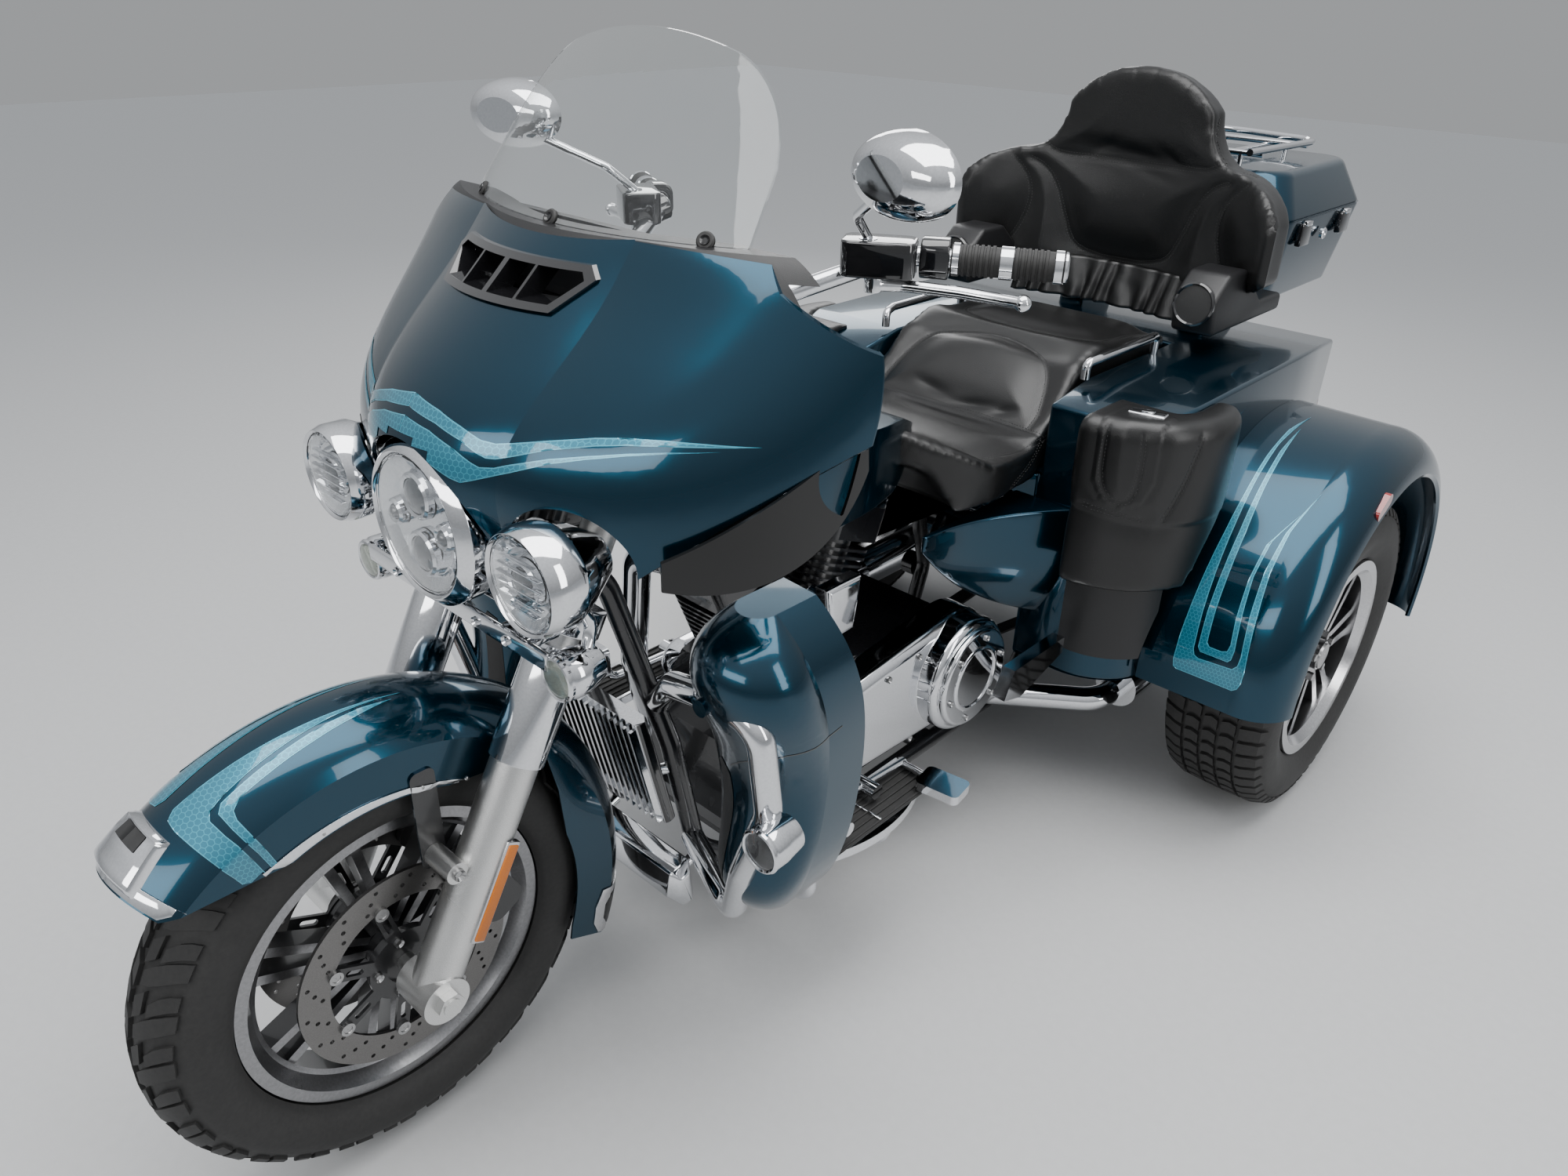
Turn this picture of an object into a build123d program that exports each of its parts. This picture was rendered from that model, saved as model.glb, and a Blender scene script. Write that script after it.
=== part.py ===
from build123d import *
import os
from math import cos, radians, sin, tan

os.makedirs("parts", exist_ok=True)

# A three-wheeled touring motorcycle: one steered wheel in front, two behind.
# Millimetres, +Z up, front towards -Y, the machine's left towards +X.
# The origin is on the ground under the middle of the whole machine.

# Overall driving dimensions
overall_length = 2670.0
overall_width = 1390.0
overall_height = 1430.0
wheelbase = 1670.0
front_tyre_radius = 320.0
front_tyre_width = 132.0
rear_tyre_radius = 324.0
rear_tyre_width = 209.0
rear_track = 1132.0
steering_rake = 26.0
steering_trail = 99.0
fork_rake = 29.25
fork_half_spacing = 125.0

# Clearances between pieces
seat_clearance = 0.3
running_clearance = 0.1
moving_clearance = 6.0

# Places that follow from them
front_axle_y = -overall_length / 2 + front_tyre_radius
front_axle_z = front_tyre_radius
rear_axle_y = front_axle_y + wheelbase
rear_axle_z = rear_tyre_radius
rear_wheel_x = rear_track / 2
steering_foot_y = front_axle_y - steering_trail
steer = Vector(0, sin(radians(steering_rake)), cos(radians(steering_rake)))
fork_direction = Vector(0, sin(radians(fork_rake)), cos(radians(fork_rake)))


def steering_point(height):
    """Point of the steering axis at a height above the ground."""
    return Vector(0, steering_foot_y + height * tan(radians(steering_rake)), height)


def fork_point(side, distance):
    """Point on a fork leg's axis, a distance up from the front axle."""
    return Vector(side * fork_half_spacing, front_axle_y, front_axle_z) + fork_direction * distance


def wheel_plane(y, z, angle=90.0):
    """Plane through a wheel's axis: x across the machine, y outwards at the angle."""
    a = radians(angle)
    return Plane(origin=(0, y, z), x_dir=(1, 0, 0), z_dir=(0, -sin(a), cos(a)))


def across(y, z):
    """The line across the machine through a wheel's centre."""
    return Axis((0, y, z), (1, 0, 0))


def bar(start, end, radius, bore=0.0):
    """Straight round bar or tube between two points."""
    start = Vector(*start)
    end = Vector(*end)
    length = (end - start).length
    with BuildPart() as piece:
        with BuildSketch(Plane(origin=start, z_dir=end - start)):
            Circle(radius)
            if bore:
                Circle(bore, mode=Mode.SUBTRACT)
        extrude(amount=length)
    return piece.part


def bent_bar(points, bends, radius):
    """Round bar along straight runs joined by tangent arcs."""
    with BuildPart() as piece:
        with BuildLine() as path:
            FilletPolyline(*points, radius=bends)
        with BuildSketch(Plane(origin=path.line @ 0, z_dir=path.line % 0)):
            Circle(radius)
        sweep(path=path.line)
    return piece.part


def write(piece, label):
    """Name a finished sub-part and store it."""
    piece.part.label = label
    export_step(piece.part, "parts/" + label + ".step")


def split_spoke(inner, inner_gap, inner_width, outer, outer_gap, outer_width):
    """A pair of straight bars that part towards the rim."""
    with BuildSketch() as pair:
        for side in (-1, 1):
            with BuildLine():
                Polyline(
                    (inner, side * inner_gap), (outer, side * outer_gap),
                    (outer, side * (outer_gap + outer_width)), (inner, side * (inner_gap + inner_width)),
                    (inner, side * inner_gap),
                )
            make_face()
    return pair.sketch


# Front wheel

front_rim_half_width = 44.0
front_rim_flange = 219.0
front_bead_radius = 203.0
front_barrel_radius = 184.0
front_hub_radius = 34.0
front_hub_half_length = 59.0
axle_radius = 12.5
tyre_wall = 11.0
spoke_pairs = 7

with BuildPart() as front_tyre:
    half = front_tyre_width / 2
    bead = front_rim_half_width - 6.0
    with BuildSketch(wheel_plane(front_axle_y, front_axle_z)):
        with BuildLine():
            Polyline((-bead, front_bead_radius), (-bead, front_rim_flange + 2),
                     (-bead - 9, front_rim_flange + 6))
            ThreePointArc((-bead - 9, front_rim_flange + 6), (-half, 256), (-half + 6, 289))
            ThreePointArc((-half + 6, 289), (0, front_tyre_radius), (half - 6, 289))
            ThreePointArc((half - 6, 289), (half, 256), (bead + 9, front_rim_flange + 6))
            Polyline((bead + 9, front_rim_flange + 6), (bead, front_rim_flange + 2),
                     (bead, front_bead_radius))
            Polyline((bead, front_bead_radius), (bead - tyre_wall, front_bead_radius))
            Polyline((bead - tyre_wall, front_bead_radius), (half - tyre_wall, 258), (half - 16, 284))
            ThreePointArc((half - 16, 284), (0, front_tyre_radius - tyre_wall), (-half + 16, 284))
            Polyline((-half + 16, 284), (-half + tyre_wall, 258), (-bead + tyre_wall, front_bead_radius))
            Polyline((-bead + tyre_wall, front_bead_radius), (-bead, front_bead_radius))
        make_face()
    revolve(axis=across(front_axle_y, front_axle_z))
write(front_tyre, "front_tyre")

with BuildPart() as front_rim:
    w = front_rim_half_width
    with BuildSketch(wheel_plane(front_axle_y, front_axle_z)):
        with BuildLine():
            Polyline(
                (-w, front_rim_flange), (-w + 6, front_rim_flange), (-w + 6, front_bead_radius),
                (w - 6, front_bead_radius), (w - 6, front_rim_flange), (w, front_rim_flange),
                (w, 203), (w - 18, front_barrel_radius + 6), (22, front_barrel_radius),
                (-22, front_barrel_radius), (-w + 18, front_barrel_radius + 6), (-w, 203),
                (-w, front_rim_flange),
            )
        make_face()
    revolve(axis=across(front_axle_y, front_axle_z))
    with BuildSketch(wheel_plane(front_axle_y, front_axle_z)):
        with BuildLine():
            Polyline(
                (-front_hub_half_length, axle_radius + running_clearance),
                (-front_hub_half_length, 52), (-front_hub_half_length + 9, 52), (-30, front_hub_radius),
                (30, front_hub_radius), (front_hub_half_length - 9, 52), (front_hub_half_length, 52),
                (front_hub_half_length, axle_radius + running_clearance),
                (-front_hub_half_length, axle_radius + running_clearance),
            )
        make_face()
    revolve(axis=across(front_axle_y, front_axle_z))
    hub_plane = Plane(origin=(0, front_axle_y, front_axle_z), x_dir=(0, 1, 0), z_dir=(1, 0, 0))
    with BuildSketch(hub_plane):
        with PolarLocations(0, spoke_pairs):
            add(split_spoke(24, 4, 11, front_barrel_radius + 1.5, 13, 14))
    extrude(amount=17, both=True)
write(front_rim, "front_rim")

disc_inner_face = 59.0
disc_thickness = 5.0
disc_radius = 150.0
disc_hole_rows = 18
disc_hole_radius = 3.0
with BuildPart() as brake_discs:
    for side in (-1, 1):
        plane = Plane(
            origin=(side * disc_inner_face, front_axle_y, front_axle_z), x_dir=(0, 1, 0), z_dir=(side, 0, 0)
        )
        with BuildSketch(plane):
            Circle(disc_radius)
            Circle(108, mode=Mode.SUBTRACT)
            Circle(54)
            with PolarLocations(76, spoke_pairs):
                Rectangle(72, 20)
            Circle(30, mode=Mode.SUBTRACT)
            with PolarLocations(78, spoke_pairs):
                SlotOverall(26, 9, mode=Mode.SUBTRACT)
            for step in range(3):
                with PolarLocations(disc_radius - 10 - 11 * step, disc_hole_rows, start_angle=5 * step):
                    Circle(disc_hole_radius, mode=Mode.SUBTRACT)
        extrude(amount=disc_thickness)
        with BuildSketch(plane.offset(disc_thickness)):
            with PolarLocations(106, spoke_pairs):
                Circle(8)
        extrude(amount=3)
write(brake_discs, "brake_discs")

# Rear wheels, one body each side

rear_rim_half_width = 92.0
rear_bead_radius = 190.0
rear_rim_flange = 205.0
rear_barrel_radius = 172.0
rear_hub_radius = 48.0
rear_disc_radius = 140.0
spindle_radius = 20.0

for side, name in ((1, "left"), (-1, "right")):
    x = side * rear_wheel_x
    half = rear_tyre_width / 2
    bead = rear_rim_half_width - 7.0
    with BuildPart() as rear_tyre:
        with BuildSketch(wheel_plane(rear_axle_y, rear_axle_z)):
            with BuildLine():
                Polyline((x - bead, rear_bead_radius), (x - bead, rear_rim_flange + 3))
                ThreePointArc((x - bead, rear_rim_flange + 3), (x - half, 252), (x - half + 7, 296))
                ThreePointArc(
                    (x - half + 7, 296), (x - half + 15, rear_tyre_radius - 11),
                    (x - half + 38, rear_tyre_radius - 2),
                )
                ThreePointArc(
                    (x - half + 38, rear_tyre_radius - 2), (x, rear_tyre_radius),
                    (x + half - 38, rear_tyre_radius - 2),
                )
                ThreePointArc(
                    (x + half - 38, rear_tyre_radius - 2), (x + half - 15, rear_tyre_radius - 11),
                    (x + half - 7, 296),
                )
                ThreePointArc((x + half - 7, 296), (x + half, 252), (x + bead, rear_rim_flange + 3))
                Polyline((x + bead, rear_rim_flange + 3), (x + bead, rear_bead_radius))
                Polyline(
                    (x + bead, rear_bead_radius), (x + bead - tyre_wall, rear_bead_radius),
                    (x + half - 2 * tyre_wall, 250), (x + half - 2 * tyre_wall, 300),
                    (x - half + 2 * tyre_wall, 300), (x - half + 2 * tyre_wall, 250),
                    (x - bead + tyre_wall, rear_bead_radius), (x - bead, rear_bead_radius),
                )
            make_face()
        revolve(axis=across(rear_axle_y, rear_axle_z))
    write(rear_tyre, "rear_tyre_" + name)

    with BuildPart() as rear_rim:
        w = rear_rim_half_width
        with BuildSketch(wheel_plane(rear_axle_y, rear_axle_z)):
            with BuildLine():
                Polyline(
                    (x - w, rear_rim_flange), (x - w + 7, rear_rim_flange), (x - w + 7, rear_bead_radius),
                    (x + w - 7, rear_bead_radius), (x + w - 7, rear_rim_flange), (x + w, rear_rim_flange),
                    (x + w, rear_bead_radius - 4), (x + w - 16, rear_barrel_radius),
                    (x - w + 16, rear_barrel_radius), (x - w, rear_bead_radius - 4), (x - w, rear_rim_flange),
                )
            make_face()
        revolve(axis=across(rear_axle_y, rear_axle_z))
        bore = spindle_radius + running_clearance
        hub_profile = [
            (-66, bore), (-66, rear_hub_radius), (-62, rear_hub_radius), (-62, rear_disc_radius),
            (-56, rear_disc_radius), (-56, rear_hub_radius), (64, rear_hub_radius), (64, 30), (74, 30),
            (74, 0), (17, 0), (17, bore), (-66, bore),
        ]
        with BuildSketch(wheel_plane(rear_axle_y, rear_axle_z)):
            with BuildLine():
                Polyline(*[(x + side * reach, radius) for reach, radius in hub_profile])
            make_face()
        revolve(axis=across(rear_axle_y, rear_axle_z))
        face_plane = Plane(
            origin=(x + side * 42, rear_axle_y, rear_axle_z), x_dir=(0, 1, 0), z_dir=(side, 0, 0)
        )
        with BuildSketch(face_plane):
            with PolarLocations(0, spoke_pairs):
                add(split_spoke(34, 5, 15, rear_barrel_radius + 1.5, 14, 18))
        extrude(amount=20)
    write(rear_rim, "rear_rim_" + name)

# Fork, axle and clamps: the steering body

fork_slider_radius = 32.0
fork_tube_radius = 24.5
fork_slider_top = 326.0
fork_cover_radius = 37.0
fork_cover_top = 486.0
lower_clamp = 505.0
upper_clamp = 842.0
clamp_thickness = 36.0
stem_radius = 18.0
neck_low = 800.0
neck_high = 1010.0
fork_top = upper_clamp + clamp_thickness + 14.0

with BuildPart() as fork_legs:
    for side in (-1, 1):
        add(bar(fork_point(side, 0), fork_point(side, fork_slider_top), fork_slider_radius))
        add(bar(fork_point(side, fork_slider_top), fork_point(side, fork_top), fork_tube_radius))
        inner = Vector(side * (fork_half_spacing - 34), front_axle_y, front_axle_z)
        outer = Vector(side * (fork_half_spacing + 34), front_axle_y, front_axle_z)
        add(bar(inner, outer, 33))
        lug = fork_point(side, 175) + Vector(0, -36, 20)
        add(bar(lug - Vector(side * 37.7, 0, 0), lug + Vector(side * 16, 0, 0), 15))
        add(bar(fork_point(side, 165), lug, 13))
    axle_end = fork_half_spacing + 48
    add(bar((-axle_end, front_axle_y, front_axle_z), (axle_end, front_axle_y, front_axle_z), axle_radius))
    for side in (-1, 1):
        with BuildSketch(Plane.YZ.offset(side * (fork_half_spacing + 34)) if side > 0
                         else Plane.YZ.offset(side * (fork_half_spacing + 46))):
            with Locations((front_axle_y, front_axle_z)):
                RegularPolygon(radius=19, side_count=6)
        extrude(amount=12)
write(fork_legs, "fork_legs")

with BuildPart() as fork_covers:
    for side in (-1, 1):
        add(bar(fork_point(side, fork_slider_top), fork_point(side, fork_cover_top),
                fork_cover_radius, fork_tube_radius))
write(fork_covers, "fork_covers")

with BuildPart() as triple_clamps:
    for level, reach in ((lower_clamp, 46.0), (upper_clamp, 40.0)):
        centre = fork_point(0, level)
        clamp_plane = Plane(origin=centre, x_dir=(1, 0, 0), z_dir=fork_direction)
        with BuildSketch(clamp_plane):
            with Locations((-fork_half_spacing, 0), (fork_half_spacing, 0)):
                Circle(reach)
            with Locations((0, 0)):
                Circle(reach + 8)
            make_hull()
            with Locations((-fork_half_spacing, 0), (fork_half_spacing, 0)):
                Circle(fork_tube_radius, mode=Mode.SUBTRACT)
        extrude(amount=clamp_thickness)
    add(bar(steering_point(770), steering_point(1062), stem_radius))
write(triple_clamps, "triple_clamps")

# Frame

backbone_radius = 28.0
backbone_route = [(0, -684, 850), (0, -470, 824), (0, -60, 800), (0, 70, 735)]
rail_x = 140.0
rail_z = 172.0
rail_radius = 16.0
neck_radius = 32.0
engine_floor_z = 188.0
body_front_y = 215.0

with BuildPart() as frame:
    add(bar(steering_point(neck_low), steering_point(neck_high), neck_radius))
    add(bent_bar(backbone_route, 60, backbone_radius))
    for side in (-1, 1):
        add(bent_bar(
            [(side * 16, -698, 842), (side * 50, -638, 740), (side * 98, -575, 470), (side * 100, -528, 240),
             (side * rail_x, -430, rail_z), (side * rail_x, 330, rail_z), (side * 150, 400, 330),
             (side * 145, 330, 560), (side * 94, 190, 688)],
            [60, 70, 70, 45, 60, 60, 60], rail_radius))
        add(bent_bar(
            [(0, 55, 742), (side * 90, 90, 690), (side * 90, 494 - seat_clearance, 690)], 30, 14))
    for y in (-400, 40):
        with BuildSketch(Plane.XY.offset(rail_z - 6)):
            with Locations((0, y)):
                Rectangle(2 * rail_x, 44)
        extrude(amount=engine_floor_z - rail_z + 6)
    add(bar(steering_point(neck_low - 5), steering_point(neck_high + 5), stem_radius + running_clearance),
        mode=Mode.SUBTRACT)
write(frame, "frame")

# Engine: a V-twin, its crank across the machine

crank_y = -250.0
crank_z = 345.0
cylinder_lean = 22.5
case_half_width = 118.0
cylinder_base = 118.0
cylinder_top = 322.0
head_top = 385.0
rocker_top = 428.0
fin_radius = 67.0
barrel_radius = 52.0
fin_pitch = 14.0
fin_thickness = 5.0
belt_x = 75.0
belt_width = 30.0
belt_thickness = 5.0
output_y = 108.0
output_z = 350.0
output_radius = 42.0
axle_pulley_radius = 105.0


def cylinder_plane(sign, distance):
    """Plane across a cylinder: sign -1 leans forward, 1 leans back."""
    a = radians(cylinder_lean)
    direction = Vector(0, sign * sin(a), cos(a))
    return Plane(origin=Vector(0, crank_y, crank_z) + direction * distance, x_dir=(1, 0, 0), z_dir=direction)


with BuildPart() as engine_case:
    with BuildSketch(Plane.YZ.offset(-case_half_width)):
        with BuildLine():
            Polyline((-430, engine_floor_z), (-445, 230), (-420, 360), (-356, 445))
            Polyline((-356, 445), (crank_y, 478), (-144, 445), (-60, 430), (110, 430))
            Polyline((110, 430), (170, 380), (170, 240), (120, engine_floor_z), (-430, engine_floor_z))
        make_face()
    extrude(amount=2 * case_half_width)
    for sign in (-1, 1):
        with BuildSketch(cylinder_plane(sign, cylinder_base - 40)):
            Circle(barrel_radius + 8)
        extrude(amount=40)
    with BuildSketch(Plane.YZ.offset(belt_x - belt_width / 2 - 7)):
        with Locations((output_y + 34, output_z)):
            Rectangle(190, 2 * output_radius + 44)
    extrude(amount=belt_width + 14, mode=Mode.SUBTRACT)
    with BuildSketch(Plane.YZ.offset(belt_x - belt_width / 2 - 9)):
        with Locations((output_y, output_z)):
            Circle(15)
    extrude(amount=belt_width + 18)
    with BuildSketch(Plane.YZ.offset(belt_x - belt_width / 2)):
        with Locations((output_y, output_z)):
            Circle(output_radius)
    extrude(amount=belt_width)
write(engine_case, "engine_case")

with BuildPart() as cylinders:
    for sign in (-1, 1):
        with BuildSketch(cylinder_plane(sign, cylinder_base)):
            Circle(barrel_radius)
        extrude(amount=head_top - cylinder_base)
        count = int((cylinder_top - cylinder_base - 40) / fin_pitch)
        for index in range(count):
            with BuildSketch(cylinder_plane(sign, cylinder_base + 44 + index * fin_pitch)):
                RectangleRounded(2 * fin_radius + 8, 2 * fin_radius, 34)
            extrude(amount=fin_thickness)
        with BuildSketch(cylinder_plane(sign, cylinder_top)):
            RectangleRounded(2 * fin_radius + 14, 2 * fin_radius, 16)
        extrude(amount=head_top - cylinder_top)
    with BuildSketch(Plane.XZ.offset(-crank_y)):
        with Locations((0, 560)):
            Rectangle(220, 320)
    extrude(amount=1.5, both=True, mode=Mode.SUBTRACT)
    add(engine_case.part, mode=Mode.SUBTRACT)
write(cylinders, "cylinders")

with BuildPart() as rocker_covers:
    for sign in (-1, 1):
        with BuildSketch(cylinder_plane(sign, head_top)):
            RectangleRounded(2 * fin_radius + 20, 2 * fin_radius - 6, 20)
        extrude(amount=20)
        with BuildSketch(cylinder_plane(sign, head_top + 20)):
            RectangleRounded(2 * fin_radius + 6, 2 * fin_radius - 20, 20)
        extrude(amount=rocker_top - head_top - 20)
write(rocker_covers, "rocker_covers")

primary_inner_x = case_half_width
clutch_y = 51.0
clutch_z = 358.0
derby_radius = 98.0
with BuildPart() as primary_cover:
    with BuildSketch(Plane.YZ.offset(primary_inner_x)):
        with Locations((-330, 345)):
            Circle(84)
        with Locations((clutch_y, clutch_z)):
            Circle(116)
        make_hull()
    extrude(amount=62)
    fillet(primary_cover.faces().sort_by(Axis.X)[-1].edges(), 20)
    with BuildSketch(Plane.YZ.offset(primary_inner_x + 50)):
        with Locations((clutch_y, clutch_z)):
            Circle(112)
    extrude(amount=50)
    fillet(primary_cover.faces().sort_by(Axis.X)[-1].edges(), 14)
    with BuildSketch(Plane.YZ.offset(primary_inner_x + 100)):
        with Locations((clutch_y, clutch_z)):
            Circle(derby_radius)
    extrude(amount=12)
    fillet(primary_cover.faces().sort_by(Axis.X)[-1].edges(), 8)
write(primary_cover, "primary_cover")

with BuildPart() as engine_covers:
    with BuildSketch(Plane.YZ.offset(-case_half_width)):
        with Locations((-330, 400), (-190, 400)):
            Circle(42)
        with Locations((-262, 300)):
            Circle(84)
        make_hull()
    extrude(amount=-46)
    fillet(engine_covers.faces().sort_by(Axis.X)[0].edges(), 14)
    with BuildSketch(Plane.YZ.offset(-130)):
        with Locations((crank_y, 585)):
            Circle(96)
    extrude(amount=-62)
    fillet(engine_covers.faces().sort_by(Axis.X)[0].edges(), 20)
    with BuildSketch(Plane.YZ.offset(-84)):
        with Locations((crank_y, 585)):
            Circle(30)
    extrude(amount=-50)
    with BuildSketch(Plane.YZ.offset(128)):
        with BuildLine():
            Polyline((-292, 640), (-208, 640), (-222, 545), (-278, 545), (-292, 640))
        make_face()
    extrude(amount=30)
    fillet(engine_covers.faces().sort_by(Axis.X)[-1].edges(), 10)
    with BuildSketch(Plane.YZ.offset(84)):
        with Locations((crank_y, 595)):
            Circle(16)
    extrude(amount=48)
    for x, z, radius in ((-110, 570, 14), (106, 592, 8)):
        add(bar((x, crank_y, 460), (x, crank_y, z), radius))
    add(engine_case.part, mode=Mode.SUBTRACT)
    add(cylinders.part, mode=Mode.SUBTRACT)
write(engine_covers, "engine_covers")

# Exhaust: two headers on the right, then a muffler under each side of the body

pipe_radius = 24.0
muffler_radius = 44.0
muffler_x = 345.0
muffler_z = 232.0
pipe_z = 213.0
pipe_low_z = 210.0
with BuildPart() as exhaust:
    add(bent_bar(
        [(-74, -410, 650), (-150, -420, 645), (-182, -412, 420), (-200, -350, 215), (-200, 60, pipe_low_z),
         (-205, 200, pipe_z), (-muffler_x, 330, muffler_z), (-muffler_x, 420, muffler_z)],
        [36, 70, 60, 90, 60, 60], pipe_radius))
    add(bent_bar(
        [(-74, -100, 640), (-150, -104, 625), (-188, -92, 430), (-200, -80, 290), (-200, -60, pipe_low_z)],
        [36, 60, 60], pipe_radius))
    add(bent_bar(
        [(-204, 170, 212), (-150, 215, pipe_z), (150, 215, pipe_z), (muffler_x, 330, muffler_z),
         (muffler_x, 420, muffler_z)],
        [30, 60, 60], pipe_radius))
    for side in (-1, 1):
        add(bar((side * muffler_x, 400, muffler_z), (side * muffler_x, 1080, muffler_z), muffler_radius))
        add(bar((side * muffler_x, 960, muffler_z), (side * muffler_x, 1085, muffler_z), muffler_radius - 6),
            mode=Mode.SUBTRACT)
    add(cylinders.part, mode=Mode.SUBTRACT)
write(exhaust, "exhaust")

# Final drive and rear axle

axle_tube_radius = 36.0
axle_tube_end = rear_wheel_x - 73.0
spindle_end = rear_wheel_x + 10.0
with BuildPart() as rear_axle:
    add(bar((-axle_tube_end, rear_axle_y, rear_axle_z), (axle_tube_end, rear_axle_y, rear_axle_z),
            axle_tube_radius))
    add(bar((-spindle_end, rear_axle_y, rear_axle_z), (spindle_end, rear_axle_y, rear_axle_z),
            spindle_radius))
    add(bar((belt_x - belt_width / 2, rear_axle_y, rear_axle_z),
            (belt_x + belt_width / 2, rear_axle_y, rear_axle_z), axle_pulley_radius))
    add(bar((-40, rear_axle_y, rear_axle_z), (50, rear_axle_y, rear_axle_z), 80))
    for side in (-1, 1):
        add(bent_bar(
            [(side * 172, 402, 318), (side * 190, 480, 320), (side * 260, rear_axle_y - 30, rear_axle_z)],
            60, 20))
        add(bar((side * (rail_x + 27), 402, 318), (side * 196, 402, 318), 26))
    add(frame.part, mode=Mode.SUBTRACT)
write(rear_axle, "rear_axle")

with BuildPart() as drive_belt:
    with BuildSketch(Plane.YZ.offset(belt_x - belt_width / 2)):
        with Locations((output_y, output_z)):
            Circle(output_radius + belt_thickness)
        with Locations((rear_axle_y, rear_axle_z)):
            Circle(axle_pulley_radius + belt_thickness)
        make_hull()
    extrude(amount=belt_width)
    with BuildSketch(Plane.YZ.offset(belt_x - belt_width / 2)):
        with Locations((output_y, output_z)):
            Circle(output_radius)
        with Locations((rear_axle_y, rear_axle_z)):
            Circle(axle_pulley_radius)
        make_hull()
    extrude(amount=belt_width, mode=Mode.SUBTRACT)
write(drive_belt, "drive_belt")

# Rear body: a moulded shell over the axle with the luggage trunk behind

body_half_width = 430.0
body_rear_half_width = 350.0
body_rear_y = 1190.0
body_taper_y = 760.0
body_low_z = 335.0
body_top_z = 862.0
body_rear_top_z = 792.0
body_wall = 6.0
seat_deck_z = 716.0
seat_pocket_half_width = 212.0
seat_rear_y = 655.0
trunk_floor_z = 470.0
trunk_front_y = 500.0
door_half_width = 295.0
door_low_z = 430.0
door_high_z = 738.0
plate_hole_width = 146.0
plate_hole_height = 70.0
plate_hole_radius = 3.2


def body_form(inset, low, lid):
    """The rear body's outer form with its seat pocket, drawn in by a wall."""
    with BuildPart() as piece:
        w = body_half_width - inset
        r = body_rear_half_width - inset
        front = body_front_y + inset
        rear = body_rear_y - inset
        with BuildSketch(Plane.XY.offset(low)):
            with BuildLine():
                Polyline((-w, 330), (-w, body_taper_y), (-r, rear), (r, rear), (w, body_taper_y), (w, 330))
                ThreePointArc((w, 330), (w - 38, 252 + inset), (w - 120, front))
                Line((w - 120, front), (-w + 120, front))
                ThreePointArc((-w + 120, front), (-w + 38, 252 + inset), (-w, 330))
            make_face()
        extrude(amount=body_top_z - low + 20)
        with BuildSketch(Plane.YZ.offset(-500)):
            with BuildLine():
                Polyline(
                    (100, body_top_z - lid - 40), (330, body_top_z - lid), (body_taper_y, body_top_z - lid),
                    (body_rear_y + 40, body_rear_top_z - lid - 6), (body_rear_y + 40, 1000), (100, 1000),
                    (100, body_top_z - lid - 40),
                )
            make_face()
        extrude(amount=1000, mode=Mode.SUBTRACT)
        with BuildSketch(Plane.XY.offset(seat_deck_z - lid)):
            with Locations((0, seat_rear_y + inset - 400)):
                Rectangle(2 * (seat_pocket_half_width + inset), 800)
        extrude(amount=400, mode=Mode.SUBTRACT)
    return piece.part


hollows = [
    (body_low_z - 5, trunk_floor_z - body_wall, 0, 1400),
    (trunk_floor_z, 1000, trunk_front_y, 1400),
    (body_low_z - 5, 1000, 0, trunk_front_y - body_wall),
]

with BuildPart() as rear_body:
    add(body_form(0, body_low_z, 0))
    for low, high, near, far in hollows:
        with BuildPart(mode=Mode.PRIVATE) as hollow:
            add(body_form(body_wall, body_low_z - 5, body_wall))
            with BuildSketch(Plane.XY.offset(low)):
                with Locations((0, (near + far) / 2)):
                    Rectangle(1000, far - near)
            extrude(amount=high - low, mode=Mode.INTERSECT)
        add(hollow.part, mode=Mode.SUBTRACT)
    # Door opening at the back, front opening for the belt and frame, arches over the axle
    with BuildSketch(Plane.XZ.offset(-body_rear_y - 5)):
        with Locations((0, (door_low_z + door_high_z) / 2 + 12)):
            RectangleRounded(2 * door_half_width - 30, door_high_z - door_low_z - 54, 25)
    extrude(amount=20, mode=Mode.SUBTRACT)
    with BuildSketch(Plane.XZ.offset(-body_front_y + 5)):
        with Locations((0, 508)):
            Rectangle(410, 396)
    extrude(amount=-20, mode=Mode.SUBTRACT)
    with BuildSketch(Plane.YZ.offset(-500)):
        with Locations((rear_axle_y, body_low_z)):
            SlotOverall(170, 120, rotation=90)
    extrude(amount=1000, mode=Mode.SUBTRACT)
write(rear_body, "rear_body")

with BuildPart() as trunk_door:
    with BuildSketch(Plane.XZ.offset(-body_rear_y - 0.5)):
        with Locations((0, (door_low_z + door_high_z) / 2)):
            RectangleRounded(2 * door_half_width, door_high_z - door_low_z, 40)
    extrude(amount=-26)
    fillet(trunk_door.faces().sort_by(Axis.Y)[-1].edges(), 12)
    with BuildSketch(Plane.XZ.offset(-body_rear_y - 26.5)):
        with Locations((0, 600)):
            RectangleRounded(260, 160, 18)
    extrude(amount=14, mode=Mode.SUBTRACT)
    with BuildSketch(Plane.XZ.offset(-body_rear_y - 12.5)):
        with Locations((0, 600)):
            with GridLocations(plate_hole_width, plate_hole_height, 2, 2):
                Circle(plate_hole_radius)
    extrude(amount=8, mode=Mode.SUBTRACT)
    for x in (-180, 110):
        add(bar((x, body_rear_y + 26.5, door_low_z), (x + 70, body_rear_y + 26.5, door_low_z), 6))
write(trunk_door, "trunk_door")

# Rear fenders: a wide crown with a rolled outer lip over each wheel

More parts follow.
